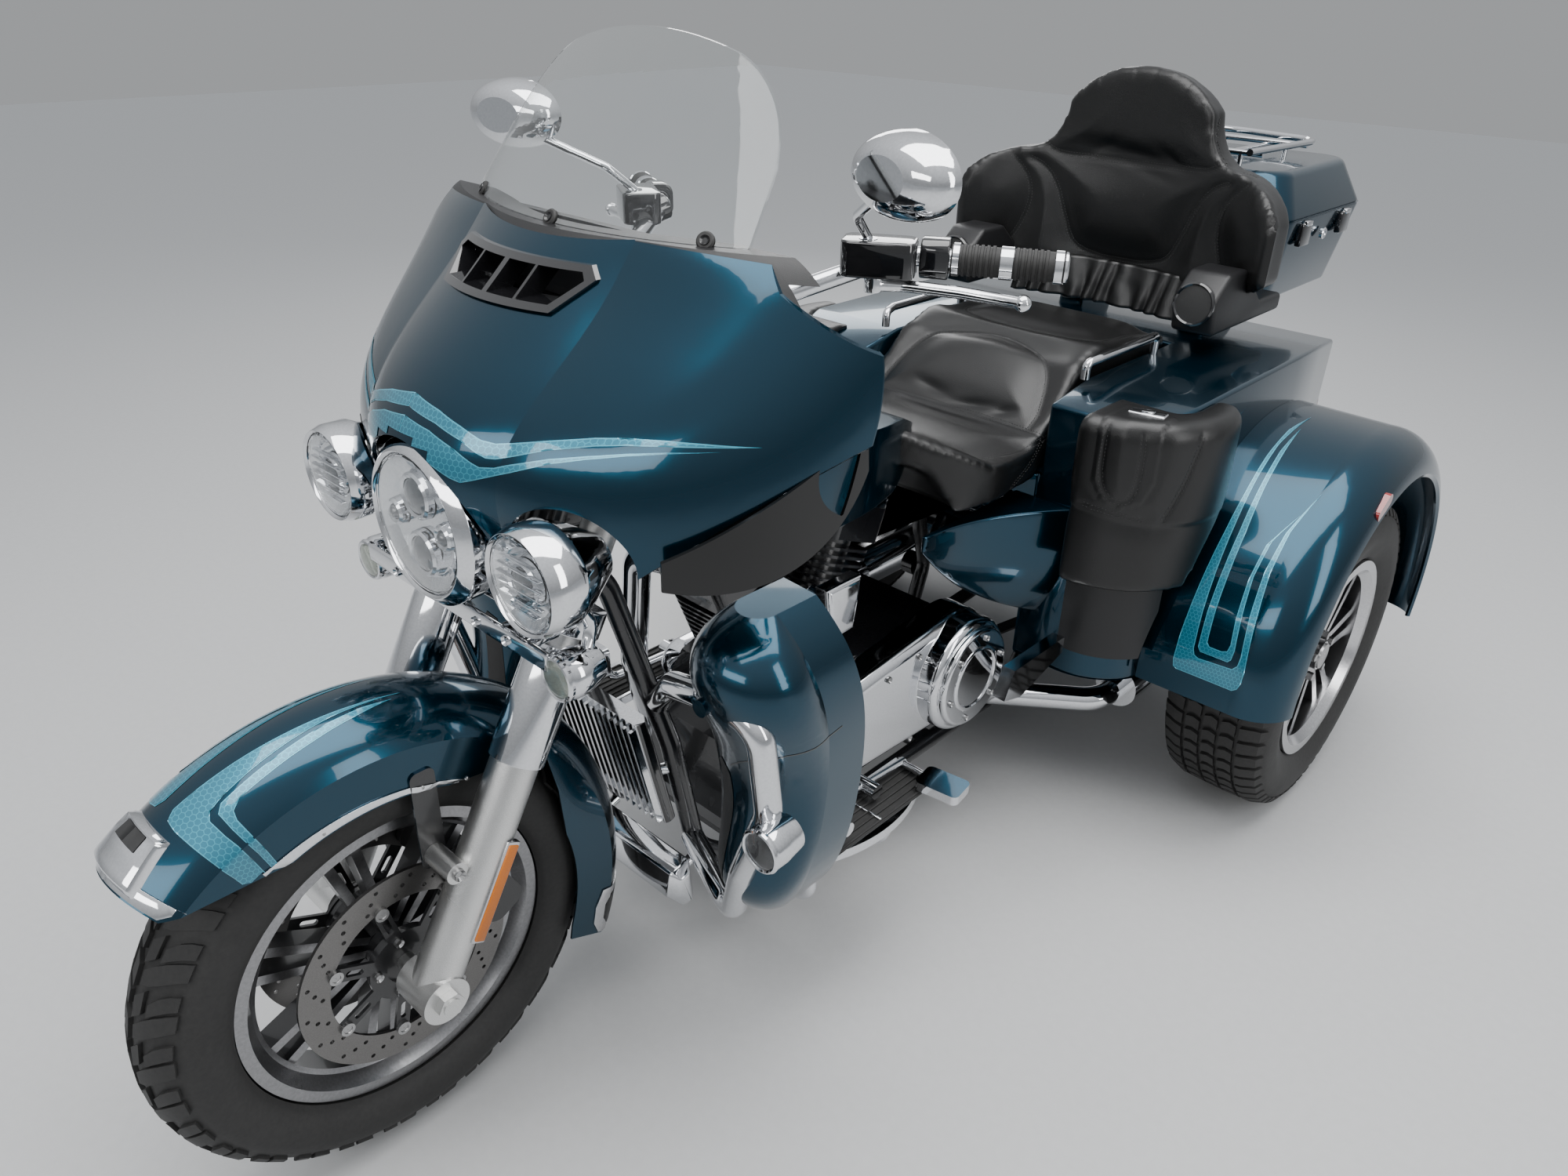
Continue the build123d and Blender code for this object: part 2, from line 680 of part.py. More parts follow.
fender_centre_y = 705.0
fender_centre_z = 350.0
fender_radius = 425.0
fender_start = -12.0
fender_sweep = 192.0
fender_wall = 5.0
with BuildPart() as rear_fenders:
    inner_x = body_half_width + seat_clearance
    outer_x = overall_width / 2
    with BuildSketch(wheel_plane(fender_centre_y, fender_centre_z, fender_start)):
        with BuildLine():
            Polyline((inner_x, fender_radius), (outer_x - 90, fender_radius - 4))
            ThreePointArc((outer_x - 90, fender_radius - 4), (outer_x - 24, fender_radius - 28),
                          (outer_x, fender_radius - 75))
            Polyline(
                (outer_x, fender_radius - 75), (outer_x - 4, fender_radius - 82),
                (outer_x - 4 - fender_wall, fender_radius - 80),
            )
            Line((outer_x - 4 - fender_wall, fender_radius - 80), (outer_x - fender_wall, fender_radius - 75))
            ThreePointArc(
                (outer_x - fender_wall, fender_radius - 75),
                (outer_x - 24 - fender_wall, fender_radius - 28 - fender_wall),
                (outer_x - 90, fender_radius - 4 - fender_wall),
            )
            Polyline(
                (outer_x - 90, fender_radius - 4 - fender_wall), (inner_x, fender_radius - fender_wall),
                (inner_x, fender_radius),
            )
        make_face()
    revolve(axis=across(fender_centre_y, fender_centre_z), revolution_arc=fender_sweep)
    mirror(about=Plane.YZ)
write(rear_fenders, "rear_fenders")


def corner_band(reach, low, high, side_end):
    """A band wrapped round the body's front corners, both sides."""
    with BuildPart() as piece:
        w = body_half_width
        for side in (-1, 1):
            with BuildSketch(Plane.XY.offset(low)):
                with BuildLine():
                    Polyline((side * (w - 122), 320), (side * (w - 122), body_front_y - reach))
                    ThreePointArc(
                        (side * (w - 122), body_front_y - reach),
                        (side * (w - 24 + reach * 0.5), 242 - reach * 0.6),
                        (side * (w + reach * 0.8), side_end),
                    )
                    Polyline((side * (w + reach * 0.8), side_end), (side * 400, side_end),
                             (side * (w - 122), 320))
                make_face()
            extrude(amount=high - low)
        add(body_form(-seat_clearance, low - 10, -seat_clearance), mode=Mode.SUBTRACT)
    return piece.part


pouch_low_z = 560.0
pouch_high_z = 858.0
with BuildPart() as fender_pouches:
    add(corner_band(58, pouch_low_z, pouch_high_z, 400))
    with BuildSketch(Plane.YZ.offset(-600)):
        with Locations((fender_centre_y, fender_centre_z)):
            Circle(fender_radius + 42)
    extrude(amount=1200, mode=Mode.SUBTRACT)
    front_edges = fender_pouches.edges().filter_by_position(
        Axis.Z, pouch_high_z - 1, pouch_high_z + 1).filter_by(GeomType.CIRCLE).sort_by(Axis.Y)[:2]
    fillet(front_edges, 26)
write(fender_pouches, "fender_pouches")

with BuildPart() as body_grilles:
    add(corner_band(26, 405, pouch_low_z - 6, 275))
    with BuildSketch(Plane.YZ.offset(-600)):
        with Locations((fender_centre_y, fender_centre_z)):
            Circle(fender_radius + 30)
    extrude(amount=1200, mode=Mode.SUBTRACT)
write(body_grilles, "body_grilles")

# Shocks between the axle and the trunk floor

shock_x = 235.0
with BuildPart() as shocks:
    for side in (-1, 1):
        top = trunk_floor_z - body_wall - seat_clearance
        add(bar((side * shock_x, rear_axle_y, rear_axle_z), (side * shock_x, rear_axle_y, top), 14))
        add(bar((side * shock_x, rear_axle_y, top - 10), (side * shock_x, rear_axle_y, top), 34))
        for index in range(5):
            z = rear_axle_z + axle_tube_radius + 10 + index * 15
            add(bar((side * shock_x, rear_axle_y, z), (side * shock_x, rear_axle_y, z + 8), 30))
    add(bar((-axle_tube_end, rear_axle_y, rear_axle_z), (axle_tube_end, rear_axle_y, rear_axle_z),
            axle_tube_radius), mode=Mode.SUBTRACT)
write(shocks, "shocks")

# Top box with its side-hinged lid, rack and backrest

topbox_half_width = 300.0
topbox_front_y = 862.0
topbox_rear_y = overall_length / 2
topbox_low_z = 905.0
topbox_split_z = 1072.0
topbox_high_z = 1160.0
topbox_wall = 5.0
lid_gap = 0.5
hinge_radius = 6.0
lid_axis_x = -topbox_half_width - hinge_radius - 2


def topbox_form(inset, low, high, shrink):
    """A loft of two rounded plans: wider at the split than at its far face."""
    with BuildPart() as piece:
        for level, less in ((low, shrink[0]), (high, shrink[1])):
            with BuildSketch(Plane.XY.offset(level)):
                with Locations((0, (topbox_front_y + topbox_rear_y) / 2)):
                    RectangleRounded(
                        2 * (topbox_half_width - less - inset),
                        topbox_rear_y - topbox_front_y - 2 * (less + inset), 70 - inset,
                    )
        loft()
    return piece.part


with BuildPart() as topbox_tub:
    add(topbox_form(0, topbox_low_z, topbox_split_z, (28, 0)))
    with BuildSketch(Plane.XY.offset(950)):
        with Locations((0, topbox_front_y + 20)):
            Rectangle(240, 2 * (20 + moving_clearance - seat_clearance))
    extrude(amount=100)
    add(topbox_form(topbox_wall, topbox_low_z + topbox_wall, topbox_split_z + 1, (28, 0)), mode=Mode.SUBTRACT)
    for x in (-150, 150):
        with BuildSketch(Plane.XY.offset(760)):
            with Locations((x, 960)):
                RectangleRounded(60, 150, 12)
        extrude(amount=topbox_low_z - 760)
    add(body_form(-seat_clearance, body_low_z, -seat_clearance), mode=Mode.SUBTRACT)
write(topbox_tub, "topbox_tub")

with BuildPart() as topbox_lid:
    add(topbox_form(0, topbox_split_z + lid_gap, topbox_high_z, (0, 40)))
    fillet(topbox_lid.faces().sort_by(Axis.Z)[-1].edges(), 22)
    add(topbox_form(topbox_wall, topbox_split_z, topbox_high_z - topbox_wall, (0, 44)), mode=Mode.SUBTRACT)
    for y in (980, 1150):
        add(bar((lid_axis_x, y, topbox_split_z), (lid_axis_x, y + 70, topbox_split_z), hinge_radius))
        with BuildSketch(Plane.XY.offset(topbox_split_z + lid_gap)):
            with Locations((lid_axis_x + hinge_radius, y + 35)):
                Rectangle(2 * hinge_radius + 4, 70)
        extrude(amount=hinge_radius - lid_gap)
write(topbox_lid, "topbox_lid")

rack_z = 1192.0
rack_radius = 7.0
with BuildPart() as luggage_rack:
    add(bent_bar(
        [(-190, 905, rack_z), (-205, 1220, rack_z), (0, 1268, rack_z), (205, 1220, rack_z),
         (190, 905, rack_z)],
        [50, 160, 50], rack_radius))
    for x in (-110, 0, 110):
        add(bar((x, 930, rack_z - 14), (x, 1248, rack_z - 14), 5))
    for y in (960, 1190):
        add(bar((-196, y, rack_z - 8), (196, y, rack_z - 8), 6))
        for x in (-150, 150):
            add(bar((x, y, topbox_high_z), (x, y, rack_z - 8), 6))
write(luggage_rack, "luggage_rack")

with BuildPart() as backrest:
    with BuildSketch(Plane.XY.offset(940)):
        with BuildLine():
            ThreePointArc((-345, 700), (0, 800), (345, 700))
            Line((345, 700), (345, 784))
            ThreePointArc((345, 784), (0, topbox_front_y - moving_clearance), (-345, 784))
            Line((-345, 784), (-345, 700))
        make_face()
    extrude(amount=400)
    with BuildSketch(Plane.XZ.offset(-600)):
        with BuildLine():
            Polyline((-345, 985), (-345, 1095))
            ThreePointArc((-345, 1095), (-300, 1150), (-225, 1172))
            ThreePointArc((-225, 1172), (-175, 1210), (-158, 1268))
            ThreePointArc((-158, 1268), (0, 1334), (158, 1268))
            ThreePointArc((158, 1268), (175, 1210), (225, 1172))
            ThreePointArc((225, 1172), (300, 1150), (345, 1095))
            Polyline((345, 1095), (345, 985), (250, 945), (-250, 945), (-345, 985))
        make_face()
    extrude(amount=-400, mode=Mode.INTERSECT)
write(backrest, "backrest")

with BuildPart() as speaker_pods:
    for side in (-1, 1):
        with BuildSketch(Plane.YZ.offset(side * 232)):
            with BuildLine():
                Polyline((590, 905), (580, 975), (630, 1015), (706, 1015))
                Polyline((706, 1015), (800, 940), (topbox_front_y + 40, 940), (topbox_front_y + 40, 905),
                         (590, 905))
            make_face()
        extrude(amount=side * 84)
    add(backrest.part, mode=Mode.SUBTRACT)
    add(topbox_form(-seat_clearance, topbox_low_z - 1, topbox_split_z, (28, 0)), mode=Mode.SUBTRACT)
write(speaker_pods, "speaker_pods")


def backbone_tunnel():
    """The room that the tank and the seat leave over the frame's backbone."""
    half = backbone_radius + seat_clearance
    with BuildPart() as piece:
        add(bent_bar(backbone_route, 60, half))
        with BuildSketch(Plane.YZ.offset(-half)):
            with BuildLine():
                Polyline(*[(y, z) for x, y, z in backbone_route], (70, 690), (-684, 690), (-684, 850))
            make_face()
        extrude(amount=2 * half)
    return piece.part


# Seat: a low rider's bucket in front of a raised passenger's seat

seat_flank_z = 672.0
panel_x = 166.3
with BuildPart() as seat:
    with BuildSketch(Plane.YZ.offset(-260)):
        with BuildLine():
            Polyline((-110, 792), (-95, 838), (10, 790))
            ThreePointArc((10, 790), (130, 757), (250, 800))
            Polyline((250, 800), (330, 874), (346, 876), (346, seat_deck_z + seat_clearance),
                     (20, seat_deck_z + seat_clearance), (-55, 772), (-110, 792))
        make_face()
        with BuildLine():
            Polyline((-60, 775), (-10, 690), (40, seat_flank_z), (150, seat_flank_z), (212, 700), (212, 760),
                     (-60, 775))
        make_face()
    extrude(amount=520)
    with BuildSketch(Plane.XY.offset(seat_flank_z - 10)):
        Rectangle(2 * (panel_x + 18), 700)
    extrude(amount=seat_deck_z + seat_clearance - seat_flank_z + 10, mode=Mode.SUBTRACT)
    with BuildSketch(Plane.YZ.offset(-260)):
        with BuildLine():
            Polyline((348, seat_deck_z + seat_clearance), (348, 876), (400, 892), (560, 884),
                     (seat_rear_y - 1, 872), (seat_rear_y - 1, seat_deck_z + seat_clearance),
                     (348, seat_deck_z + seat_clearance))
        make_face()
    extrude(amount=520)
    with BuildSketch(Plane.XY.offset(700)):
        with BuildLine():
            Polyline((-70, -115), (70, -115))
            ThreePointArc((70, -115), (196, -10), (211, 130))
            Polyline((211, 130), (200, 300), (190, 350), (200, seat_rear_y), (-200, seat_rear_y), (-190, 350),
                     (-200, 300), (-211, 130))
            ThreePointArc((-211, 130), (-196, -10), (-70, -115))
        make_face()
    extrude(amount=220, mode=Mode.INTERSECT)
    add(backbone_tunnel(), mode=Mode.SUBTRACT)
    add(frame.part, mode=Mode.SUBTRACT)
write(seat, "seat")

# Fuel tank over the backbone, with the console along its top

tank_low_z = 752.0
tank_notch_z = 776.0
tank_profile = [(-500, 800), (-478, 862), (-410, 888), (-250, 893), (-90, 868), (30, 812)]
with BuildPart() as fuel_tank:
    with BuildSketch(Plane.YZ.offset(-200)):
        with BuildLine():
            Polyline(*tank_profile, (30, 795), (-112, tank_low_z), (-500, tank_low_z), tank_profile[0])
        make_face()
    extrude(amount=400)
    with BuildSketch(Plane.XY.offset(700)):
        with BuildLine():
            ThreePointArc((-120, -490), (0, -505), (120, -490))
            ThreePointArc((120, -490), (162, -330), (60, 25))
            Line((60, 25), (-60, 25))
            ThreePointArc((-60, 25), (-162, -330), (-120, -490))
        make_face()
    extrude(amount=250, mode=Mode.INTERSECT)
    with BuildSketch(Plane.XY.offset(700)):
        with Locations((0, -240)):
            Rectangle(180, 560)
    extrude(amount=tank_notch_z - 700, mode=Mode.SUBTRACT)
    add(backbone_tunnel(), mode=Mode.SUBTRACT)
    add(seat.part, mode=Mode.SUBTRACT)
write(fuel_tank, "fuel_tank")

console_height = 14.0
with BuildPart() as tank_console:
    with BuildSketch(Plane.YZ.offset(-48)):
        with BuildLine():
            Polyline(*tank_profile[2:5])
            Polyline(tank_profile[4], (-90, 868 + console_height), (-250, 893 + console_height),
                     (-400, 888 + console_height), tank_profile[2])
        make_face()
    extrude(amount=96)
    add(seat.part, mode=Mode.SUBTRACT)
write(tank_console, "tank_console")

# Side panels under the seat

# Columns: y, height of the lower edge, height of the upper edge, bulge of the outer face
panel_sections = [
    (-70, 636, seat_flank_z - 6, 10),
    (60, 520, seat_flank_z - 6, 34),
    (body_front_y - seat_clearance, 440, seat_flank_z - 6, 128),
]
with BuildPart() as side_panels:
    for y, low, high, bulge in panel_sections:
        with BuildSketch(Plane.XZ.offset(-y)):
            with BuildLine():
                Polyline((panel_x + 0.6 * bulge, low), (panel_x, low), (panel_x, high),
                         (panel_x + bulge, high))
                ThreePointArc((panel_x + bulge, high), (panel_x + bulge * 0.98, high - 0.4 * (high - low)),
                              (panel_x + 0.6 * bulge, low))
            make_face()
    loft()
    add(bar((panel_x + 2, 150, 655), (panel_x - 22, 150, 668), 7))
    mirror(about=Plane.YZ)
    add(frame.part, mode=Mode.SUBTRACT)
write(side_panels, "side_panels")

# Grab rails beside the passenger's seat

with BuildPart() as grab_rails:
    add(bent_bar(
        [(225, 300, body_top_z + 8), (225, 300, 898), (232, 330, 902), (232, 520, 902), (225, 555, 898),
         (225, 555, body_top_z + seat_clearance)],
        [12, 12, 12, 12], 8))
    mirror(about=Plane.YZ)
write(grab_rails, "grab_rails")

with BuildPart() as tail_lamps:
    with BuildSketch(Plane.XZ.offset(-body_rear_y - seat_clearance)):
        with Locations((-322, 560), (322, 560)):
            RectangleRounded(44, 190, 12)
    extrude(amount=-20)
    with BuildSketch(Plane.YZ.offset(overall_width / 2 - 34)):
        with Locations((568, 690)):
            SlotOverall(60, 24, rotation=30)
    extrude(amount=33)
    with BuildSketch(Plane.YZ.offset(-overall_width / 2 + 34)):
        with Locations((568, 690)):
            SlotOverall(60, 24, rotation=30)
    extrude(amount=-33)
    add(rear_fenders.part, mode=Mode.SUBTRACT)
write(tail_lamps, "tail_lamps")

# Engine guard and the lower fairings behind it

guard_radius = 19.0
with BuildPart() as engine_guard:
    for side in (-1, 1):
        add(bent_bar(
            [(side * 104, -598, 560), (side * 180, -636, 640), (side * 290, -676, 692),
             (side * 376, -672, 692), (side * 380, -655, 545), (side * 318, -640, 400),
             (side * 268, -609, 270), (side * 104, -540, 270)],
            [50, 50, 40, 90, 60, 50], guard_radius))
        with BuildSketch(Plane.XZ.offset(636)):
            with Locations((side * 400, 518)):
                Circle(26)
        with BuildSketch(Plane.XZ.offset(668)):
            with Locations((side * 400, 518)):
                Circle(31)
        with BuildSketch(Plane.XZ.offset(690)):
            with Locations((side * 400, 518)):
                Circle(31)
        loft(ruled=True)
    add(frame.part, mode=Mode.SUBTRACT)
write(engine_guard, "engine_guard")

# Columns: height, inner x and y, foremost x and y, outer x and y
leg_shield_sections = [
    (300, 258, -562, 294, -606, 336, -572),
    (440, 232, -580, 305, -640, 384, -560),
    (600, 215, -596, 318, -654, 398, -562),
    (716, 222, -604, 326, -702, 396, -588),
    (800, 276, -598, 308, -634, 336, -602),
]
leg_shield_depth = 72.0
leg_shield_wall = 5.0


def leg_shield(inset, opened):
    """A bulged shield open to the rear: few plans joined by a loft."""
    with BuildPart() as piece:
        for index, (z, xi, yi, xf, yf, xo, yo) in enumerate(leg_shield_sections):
            level = z
            if inset and index == 0:
                level = z + inset
            if inset and index == len(leg_shield_sections) - 1:
                level = z - inset
            with BuildSketch(Plane.XY.offset(level)):
                with BuildLine():
                    TangentArc((xf, yf + inset), (xi + inset, yi + opened), tangent=(-1, 0))
                    TangentArc((xf, yf + inset), (xo - inset, yo + opened), tangent=(1, 0))
                    Polyline((xo - inset, yo + opened), (xo - inset, yo + leg_shield_depth + opened),
                             (xi + inset, yi + leg_shield_depth + opened), (xi + inset, yi + opened))
                make_face()
        loft()
    return piece.part


with BuildPart() as lower_fairings:
    add(leg_shield(0, 0))
    add(leg_shield(leg_shield_wall, 8), mode=Mode.SUBTRACT)
    add(bar((300, -674, 690), (300, -700, 690), 12))
    add(bar((325, -641, 420), (325, -575, 420), 10))
    mirror(about=Plane.YZ)
    add(engine_guard.part, mode=Mode.SUBTRACT)
write(lower_fairings, "lower_fairings")

# Footboards and foot controls

board_z = 290.0
with BuildPart() as footboards:
    for side in (-1, 1):
        with BuildSketch(Plane.XY.offset(board_z)):
            with BuildLine():
                Polyline((side * 235, -480), (side * 235, -185), (side * 290, -185))
                ThreePointArc((side * 290, -185), (side * 336, -300), (side * 306, -470))
                Line((side * 306, -470), (side * 235, -480))
            make_face()
        extrude(amount=16)
        for y in (-430, -240):
            add(bent_bar(
                [(side * (rail_x + 4), y, rail_z - 6), (side * 262, y, rail_z - 6), (side * 262, y, board_z)],
                30, 11))
    for side in (-1, 1):
        with BuildSketch(Plane.YZ.offset(side * 318) if side > 0 else Plane.YZ.offset(-342)):
            with BuildLine():
                Polyline((-32, 400), (-10, 452), (150, 452), (150, 420), (20, 385), (-32, 400))
            make_face()
        extrude(amount=24)
    for side, y, x in ((1, 175, 190), (-1, 40, 158)):
        add(bent_bar(
            [(side * (rail_x + 4), y, rail_z + 10), (side * x, y, 245), (side * 250, y, 300),
             (side * 330, 100, 420)],
            [40, 60], 11))
    add(frame.part, mode=Mode.SUBTRACT)
write(footboards, "footboards")

with BuildPart() as foot_controls:
    add(bar((236, -305, 330), (290, -305, 330), 13))
    add(bent_bar([(262, -424, 348), (262, -305, 330), (262, -200, 322)], 200, 7))
    add(bar((255, -424, 348), (330, -424, 348), 12))
    add(bar((255, -206, 322), (350, -206, 322), 6))
    with BuildSketch(Plane.XY.offset(314)):
        with Locations(Location((349, -208), 8)):
            RectangleRounded(78, 54, 10)
    extrude(amount=16)
    add(bar((-236, -250, 330), (-290, -250, 330), 13))
    add(bent_bar([(-262, -250, 330), (-262, -400, 338), (-262, -425, 380)], 30, 8))
    with BuildSketch(Plane.XZ.offset(424)):
        with Locations((-276, 392)):
            RectangleRounded(84, 60, 12)
    extrude(amount=12)
    for side in (-1, 1):
        y = -305 if side > 0 else -250
        with BuildSketch(Plane.XY.offset(board_z + 16)):
            with Locations((side * 262, y)):
                Rectangle(40, 22)
        extrude(amount=18)
write(foot_controls, "foot_controls")

# Oil cooler and the bright cover under it

cooler_half_width = 112.0
cooler_length = 212.0
cooler_fins = 15
cooler_plane = Plane(origin=(0, -588, 336), x_dir=(1, 0, 0), z_dir=(0, -0.235, 1))
with BuildPart() as oil_cooler:
    with BuildSketch(cooler_plane):
        RectangleRounded(2 * cooler_half_width, 22, 8)
    extrude(amount=cooler_length)
    with BuildSketch(cooler_plane.offset(8)):
        with Locations((0, -14)):
            with GridLocations((2 * cooler_half_width - 18) / (cooler_fins - 1), 0, cooler_fins, 1):
                Rectangle(5, 14)
    extrude(amount=cooler_length - 16)
    for side in (-1, 1):
        add(bar((side * 80, -600, 420), (side * 98, -566, 420), 9))
    add(frame.part, mode=Mode.SUBTRACT)
write(oil_cooler, "oil_cooler")

with BuildPart() as chin_cover:
    with BuildSketch(Plane.YZ.offset(-128)):
        with BuildLine():
            Polyline((-606, 190), (-596, 232), (-556, 240), (-548, 160), (-570, 146), (-606, 190))
        make_face()
    extrude(amount=256)
    chamfer(chin_cover.faces().sort_by(Axis.X)[-1].edges(), 14)
    chamfer(chin_cover.faces().sort_by(Axis.X)[0].edges(), 14)
    for side in (-1, 1):
        add(bar((side * 100, -560, 215), (side * 100, -530, 225), 9))
    add(frame.part, mode=Mode.SUBTRACT)
write(chin_cover, "chin_cover")

# Front fender on the fork

front_fender_y = front_axle_y - 20.0
front_fender_z = front_axle_z - 5.0
front_fender_radius = 398.0
front_fender_half_width = 84.0
front_fender_wall = 3.0
with BuildPart() as front_fender:
    w = front_fender_half_width
    t = front_fender_wall
    with BuildSketch(wheel_plane(front_fender_y, front_fender_z, -24)):
        with BuildLine():
            Polyline((-w, 285), (-w, 350))
            ThreePointArc((-w, 350), (0, front_fender_radius), (w, 350))
            Polyline((w, 350), (w, 285), (w - t, 285), (w - t, 350))
            ThreePointArc((w - t, 350), (0, front_fender_radius - t), (-w + t, 350))
            Polyline((-w + t, 350), (-w + t, 285), (-w, 285))
        make_face()
    revolve(axis=across(front_fender_y, front_fender_z), revolution_arc=156)
    with BuildSketch(Plane.YZ.offset(-120)):
        with BuildLine():
            Polyline((-1500, 588), (front_axle_y + 85, 580), (front_axle_y + 228, 560),
                     (front_axle_y + 246, 480), (front_axle_y + 262, 290), (front_axle_y + 236, 150),
                     (-1500, 150), (-1500, 588))
        make_face()
    extrude(amount=240, mode=Mode.SUBTRACT)
    for side in (-1, 1):
        lug = fork_point(side, 175) + Vector(0, -36, 20)
        with BuildSketch(Plane.YZ.offset(side * (w + 3) if side < 0 else w)):
            with Locations((lug.Y, lug.Z + 55)):
                RectangleRounded(34, 150, 10)
        extrude(amount=3)
write(front_fender, "front_fender")

# Brake calipers behind the fork legs

with BuildPart() as brake_calipers:
    for side in (-1, 1):
        centre_y = front_axle_y + 118
        centre_z = front_axle_z + 66
        with BuildSketch(Plane.YZ.offset(side * 46 if side > 0 else -88)):
            with Locations(Location((centre_y, centre_z), -62)):
                RectangleRounded(126, 62, 20)
        extrude(amount=42)
        add(bar((side * 78, centre_y - 40, centre_z + 50), (side * 112, centre_y - 62, centre_z + 50), 10))
        disc_low = side * (disc_inner_face - 1.5)
        disc_high = side * (disc_inner_face + disc_thickness + 4.5)
        add(bar((disc_low, front_axle_y, front_axle_z), (disc_high, front_axle_y, front_axle_z),
                disc_radius + 2), mode=Mode.SUBTRACT)
    add(fork_legs.part, mode=Mode.SUBTRACT)
write(brake_calipers, "brake_calipers")

# Lamps on the fairing's front: a headlamp between two fog lamps

lamp_z = 897.0
head_y = -874.0
head_radius = 89.0
fog_x = 212.0
fog_y = -874.0
fog_radius = 57.0
lamp_bezel = 12.0
with BuildPart() as lamp_shells:
    for x, y, r, depth, flare in ((0, head_y, head_radius, 120, 18), (fog_x, fog_y, fog_radius, 100, 9),
                                  (-fog_x, fog_y, fog_radius, 100, 9)):
        with BuildSketch(Plane(origin=(x, y, lamp_z), x_dir=(1, 0, 0), z_dir=(0, 0, 1))):
            with BuildLine():
                Polyline((0, 8), (r, 8), (r, -6), (r + 4, -10), (r + flare, 4), (r + flare, 34),
                         (r * 0.92, 62), (r * 0.5, depth), (0, depth), (0, 8))
            make_face()
        revolve(axis=Axis((x, y, lamp_z), (0, 1, 0)))
    for side in (-1, 1):
        with BuildSketch(Plane(origin=(side * 213, -820, 759), x_dir=(1, 0, 0), z_dir=(0, 0, 1))):
            with BuildLine():
                Polyline((0, -22), (26, -22), (31, -14), (31, 6), (22, 34), (0, 48), (0, -22))
            make_face()
        revolve(axis=Axis((side * 213, -820, 759), (0, 1, 0)))
        add(bent_bar([(side * 213, -800, 770), (side * 213, -790, 812), (side * 204, -808, 866)], 20, 8))
        add(bar((side * fog_x, fog_y + 60, lamp_z - 30), (side * 110, -790, 850), 14))
        add(bar((side * 110, -790, 850), (side * 60, -800, 860), 14))
        add(bar((side * 66, -800, 850), (side * 66, -762, 785), 12))
    add(triple_clamps.part, mode=Mode.SUBTRACT)
write(lamp_shells, "lamp_shells")

with BuildPart() as lamp_lenses:
    for x, y, r in ((0, head_y, head_radius), (fog_x, fog_y, fog_radius), (-fog_x, fog_y, fog_radius)):
        with BuildSketch(Plane(origin=(x, y, lamp_z), x_dir=(1, 0, 0), z_dir=(0, 0, 1))):
            with BuildLine():
                Polyline((0, 7.7), (r - 0.3, 7.7), (r - 0.3, -5), (r * 0.8, -10), (r * 0.5, -13.5), (0, -15),
                         (0, 7.7))
            make_face()
        revolve(axis=Axis((x, y, lamp_z), (0, 1, 0)))
write(lamp_lenses, "lamp_lenses")

# Fairing: a winged shell carried by the fork

# Columns: height, nose y, nose half width and its y, wing x and y, edge x and y
fairing_sections = [
    (868, -852, 128, -838, 262, -800, 352, -640),
    (930, -884, 135, -848, 300, -764, 404, -590),
    (1010, -886, 140, -842, 318, -738, 426, -560),
    (1100, -814, 150, -766, 322, -680, 432, -545),
    (1180, -722, 150, -682, 312, -622, 408, -545),
    (1228, -668, 150, -640, 280, -590, 330, -556),
]
fairing_wall = 5.0


def fairing_form(inset, opened):
    """The fairing's closed form: plans of three arcs joined by a loft, drawn in by a wall."""
    with BuildPart() as piece:
        last = len(fairing_sections) - 1
        for index, (z, ny, nx, ny2, wx, wy, ex, ey) in enumerate(fairing_sections):
            level = z
            if opened and index == 0:
                level = z - opened
            if opened and index == last:
                level = z + opened
            with BuildSketch(Plane.XY.offset(level)):
                with BuildLine():
                    a = (nx - inset * 0.3, ny2 + inset)
                    b = (wx - inset * 0.7, wy + inset * 0.7)
                    c = (ex - inset, ey)
                    ThreePointArc((-a[0], a[1]), (0, ny + inset), a)
                    ThreePointArc(a, b, c)
                    back = c[1] + 2 + opened
                    Polyline(c, (c[0], back), (-c[0], back), (-c[0], c[1]))
                    ThreePointArc((-c[0], c[1]), (-b[0], b[1]), (-a[0], a[1]))
                make_face()
        loft(ruled=False)
    return piece.part


def fairing_outline():
    """The fairing seen from the front: wings, brow over the headlamp, openings for the lamps."""
    with BuildPart() as piece:
        with BuildSketch(Plane.XZ.offset(400)):
            with BuildLine():
                Polyline((-300, 1225), (-330, 1190), (-432, 1130))
                Polyline((-432, 1130), (-436, 1040), (-330, 935), (-262, 872), (-150, 872), (0, 872))
                Polyline((0, 872), (150, 872), (262, 872), (330, 935), (436, 1040), (432, 1130))
                Polyline((432, 1130), (330, 1190), (300, 1225), (-300, 1225))
            make_face()
        extrude(amount=600)
        for x, r in ((0, head_radius + 24), (-fog_x, fog_radius + 16), (fog_x, fog_radius + 16)):
            with BuildSketch(Plane.XZ.offset(500)):
                with Locations((x, lamp_z)):
                    Circle(r)
                with Locations((x, lamp_z - r)):
                    Rectangle(2 * r, 2 * r)
            extrude(amount=500, mode=Mode.SUBTRACT)
    return piece.part


vent_outline = [(-134, 1184), (-106, 1150), (106, 1150), (134, 1184), (120, 1197), (-120, 1197), (-134, 1184)]

with BuildPart() as fairing_outer:
    add(fairing_form(0, 0))
    add(fairing_form(fairing_wall, 14), mode=Mode.SUBTRACT)
    add(fairing_outline(), mode=Mode.INTERSECT)
    with BuildSketch(Plane.XZ.offset(600)):
        with BuildLine():
            Polyline(*vent_outline)
        make_face()
    extrude(amount=300, mode=Mode.SUBTRACT)
write(fairing_outer, "fairing_outer")

# Windshield: a thin curved sheet leaning back

